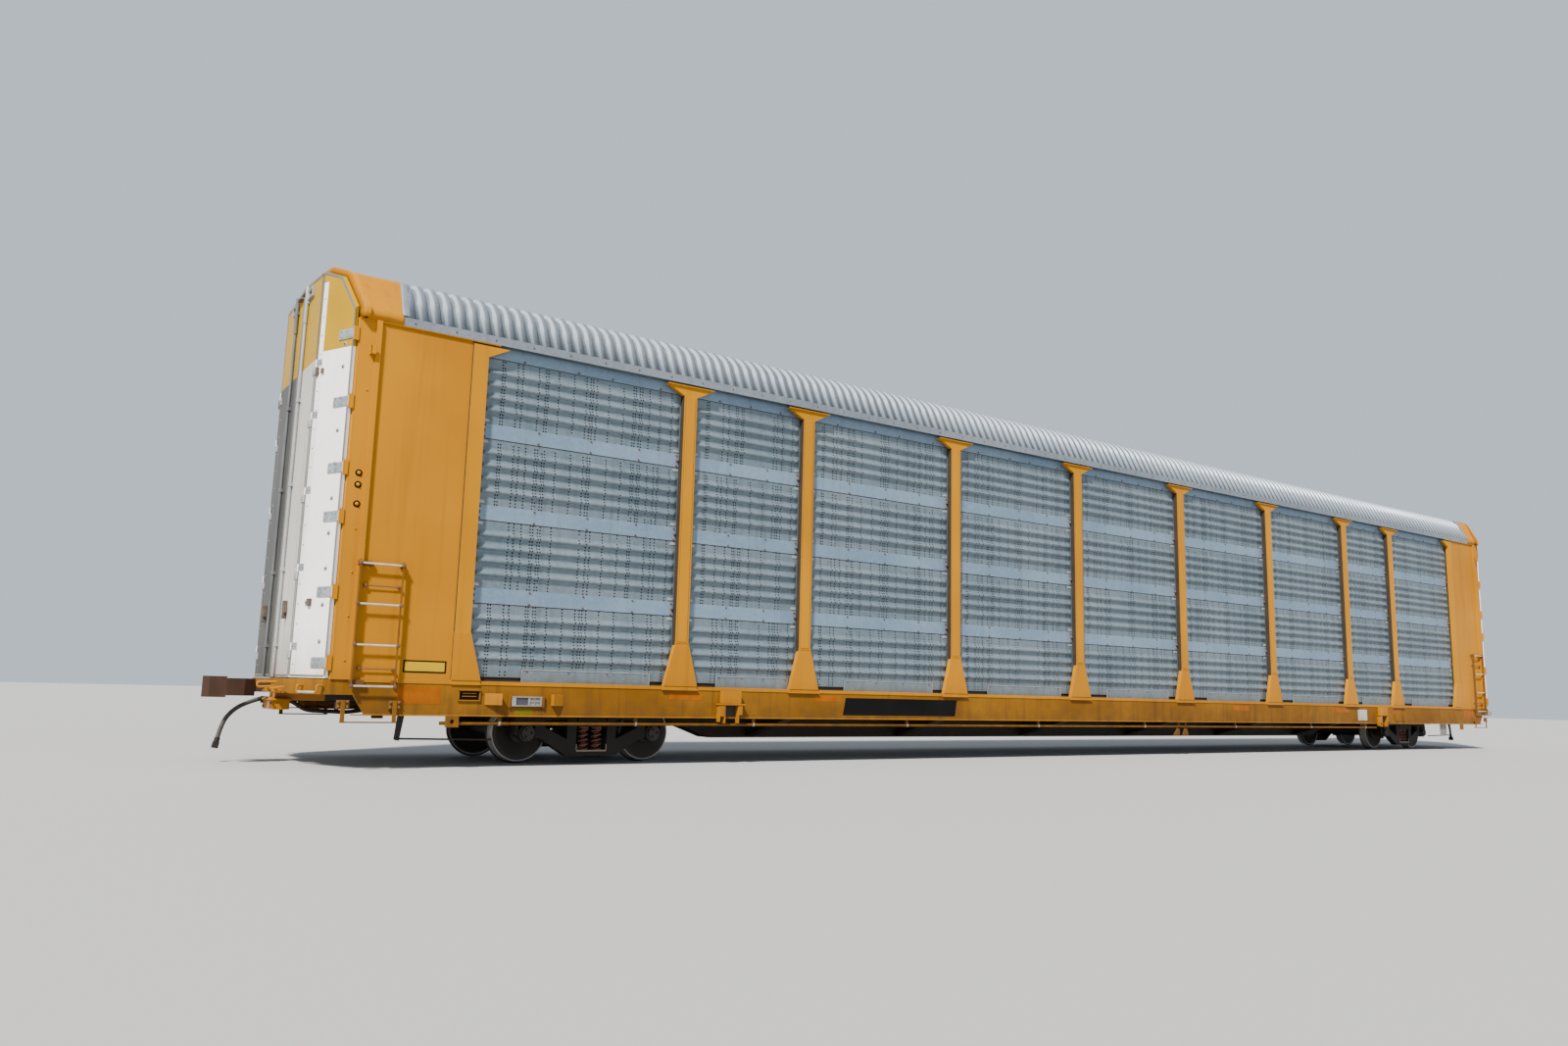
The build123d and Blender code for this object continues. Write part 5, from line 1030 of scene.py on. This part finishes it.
spring_low, spring_high = 0.162, 0.450
truck_x, spring_y = 10.06, 1.003
spring_rust = weathered("spring_rust", (0.10, 0.036, 0.022), (0.15, 0.055, 0.032), (0.05, 0.028, 0.02), 0.75,
                        patch=8.0, runs=0.1, splash=(0.05, 0.2), grain=0.5)
seat_edge_highlight = weathered("highlit_casting_edge", (0.24, 0.19, 0.14), (0.32, 0.26, 0.20), (0.06, 0.045, 0.03), 0.55,
                      metal=0.3, patch=6.0, runs=0.3, splash=(0.05, 0.2))
for end, letter in ends:
    nests = [coil(end * truck_x + hand, side * spring_y, *size) for side in (-1, 1)
             for hand in (-0.089, 0.089) for size in ((0.0545, 0.0115, 6.0), (0.031, 0.0075, 8.0))]
    springs = mesh_piece(f"coil_springs_{letter}", *joined(*nests), spring_rust, "spring_steel",
                         f"truck_{letter}", smooth=True)
    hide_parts(f"springs_{letter}")
    seat = repeated([((-0.203, -1.060, 0.150), (0.203, -1.075, 0.170)),
                     ((-0.205, -1.060, 0.160), (-0.195, -1.072, 0.240)),
                     ((0.195, -1.060, 0.160), (0.205, -1.072, 0.240))], [end * truck_x])
    mesh_piece(f"spring_seat_edges_{letter}", *bars(both_sides(seat)), seat_edge_highlight, "cast_steel",
               f"truck_{letter}", rounded=0.004)


# Wheelsets: forged wheels pressed on turned axles, with roller bearings whose end caps have three bolts. The
# tread and the rim's edge are polished by the rail and the brake shoes.
def wheel_finish(name, centre_x):
    """Wheel steel: the tone depends on the distance from the axle's line, dark with grime on the web and
    bright on the rim, between 0.334 and 0.352 m."""
    material = weathered(name, (0.010, 0.0078, 0.005), (0.020, 0.0145, 0.010), (0.028, 0.019, 0.012), 0.6,
                         patch=4.0, runs=0.0, splash=(0.05, 0.2), grain=0.4)
    tree = material.node_tree
    place = add(tree, "TexCoord").outputs["Object"]
    from_axle = add(tree, "Mapping", {0: place, 1: (-centre_x, 0.0, -axle_z), 3: (1.0, 0.0, 1.0)}).outputs[0]
    radius = add(tree, "VectorMath", {0: from_axle}, operation="LENGTH").outputs["Value"]
    polished = product(tree, ramp(tree, radius, 0.330, 0.334), ramp(tree, radius, 0.352, 0.358, 1.0, 0.0))
    bare_steel = (0.30, 0.285, 0.265, 1)
    painted_over(material, polished, bare_steel)
    roughness = tree.nodes["Principled BSDF"].inputs["Roughness"]
    tree.links.new(ramp(tree, polished, 0.0, 1.0, 0.65, 0.3), roughness)
    return material


axle_z, half_wheelbase, cap_face = 0.375, 0.851, 1.112
bolt_turns = np.arange(3) * 2 * pi / 3
bolt_circle = 0.048 * np.stack((np.cos(bolt_turns), np.zeros(3), np.sin(bolt_turns)), axis=1)
for end, letter in ends:
    for number, hand in ((1, -1), (2, 1)):
        axle_x = end * truck_x + hand * half_wheelbase
        dress(wheel_finish(f"wheel_steel_{letter}{number}", axle_x), f"wheelset_{letter}{number}")
        caps = [studs(bolt_circle + (axle_x, side * cap_face, axle_z), (0, side, 0), 0.014, 0.014, 6)
                for side in (-1, 1)]
        mesh_piece(f"bearing_cap_bolts_{letter}{number}", *joined(*caps), cast, "cast_steel",
                   f"axle_{letter}{number}")


# Studio: a plain pale floor, a low sun from the near end and a soft even sky.
floor_mesh = bpy.data.meshes.new("floor")
floor_mesh.from_pydata([(-120, -120, 0), (120, -120, 0), (120, 120, 0), (-120, 120, 0)], [], [(0, 1, 2, 3)])
floor_paint = bpy.data.materials.new("pale_floor")
floor_paint.use_nodes = True
floor_paint.node_tree.nodes["Principled BSDF"].inputs["Base Color"].default_value = (0.34, 0.34, 0.335, 1.0)
floor_paint.node_tree.nodes["Principled BSDF"].inputs["Roughness"].default_value = 0.9
floor_mesh.materials.append(floor_paint)
floor = placed("floor", floor_mesh)
world = bpy.data.worlds.new("studio")
world.use_nodes = True
world.node_tree.nodes["Background"].inputs[0].default_value = (0.78, 0.88, 1.0, 1.0)
world.node_tree.nodes["Background"].inputs[1].default_value = 0.82
bpy.context.scene.world = world
sun = placed("sun", bpy.data.lights.new("sun", "SUN"))
sun.data.energy = 10.0
sun.data.angle = radians(5)
sun.data.color = (1.0, 0.95, 0.87)
sun.rotation_euler = (radians(40), 0, radians(-55))
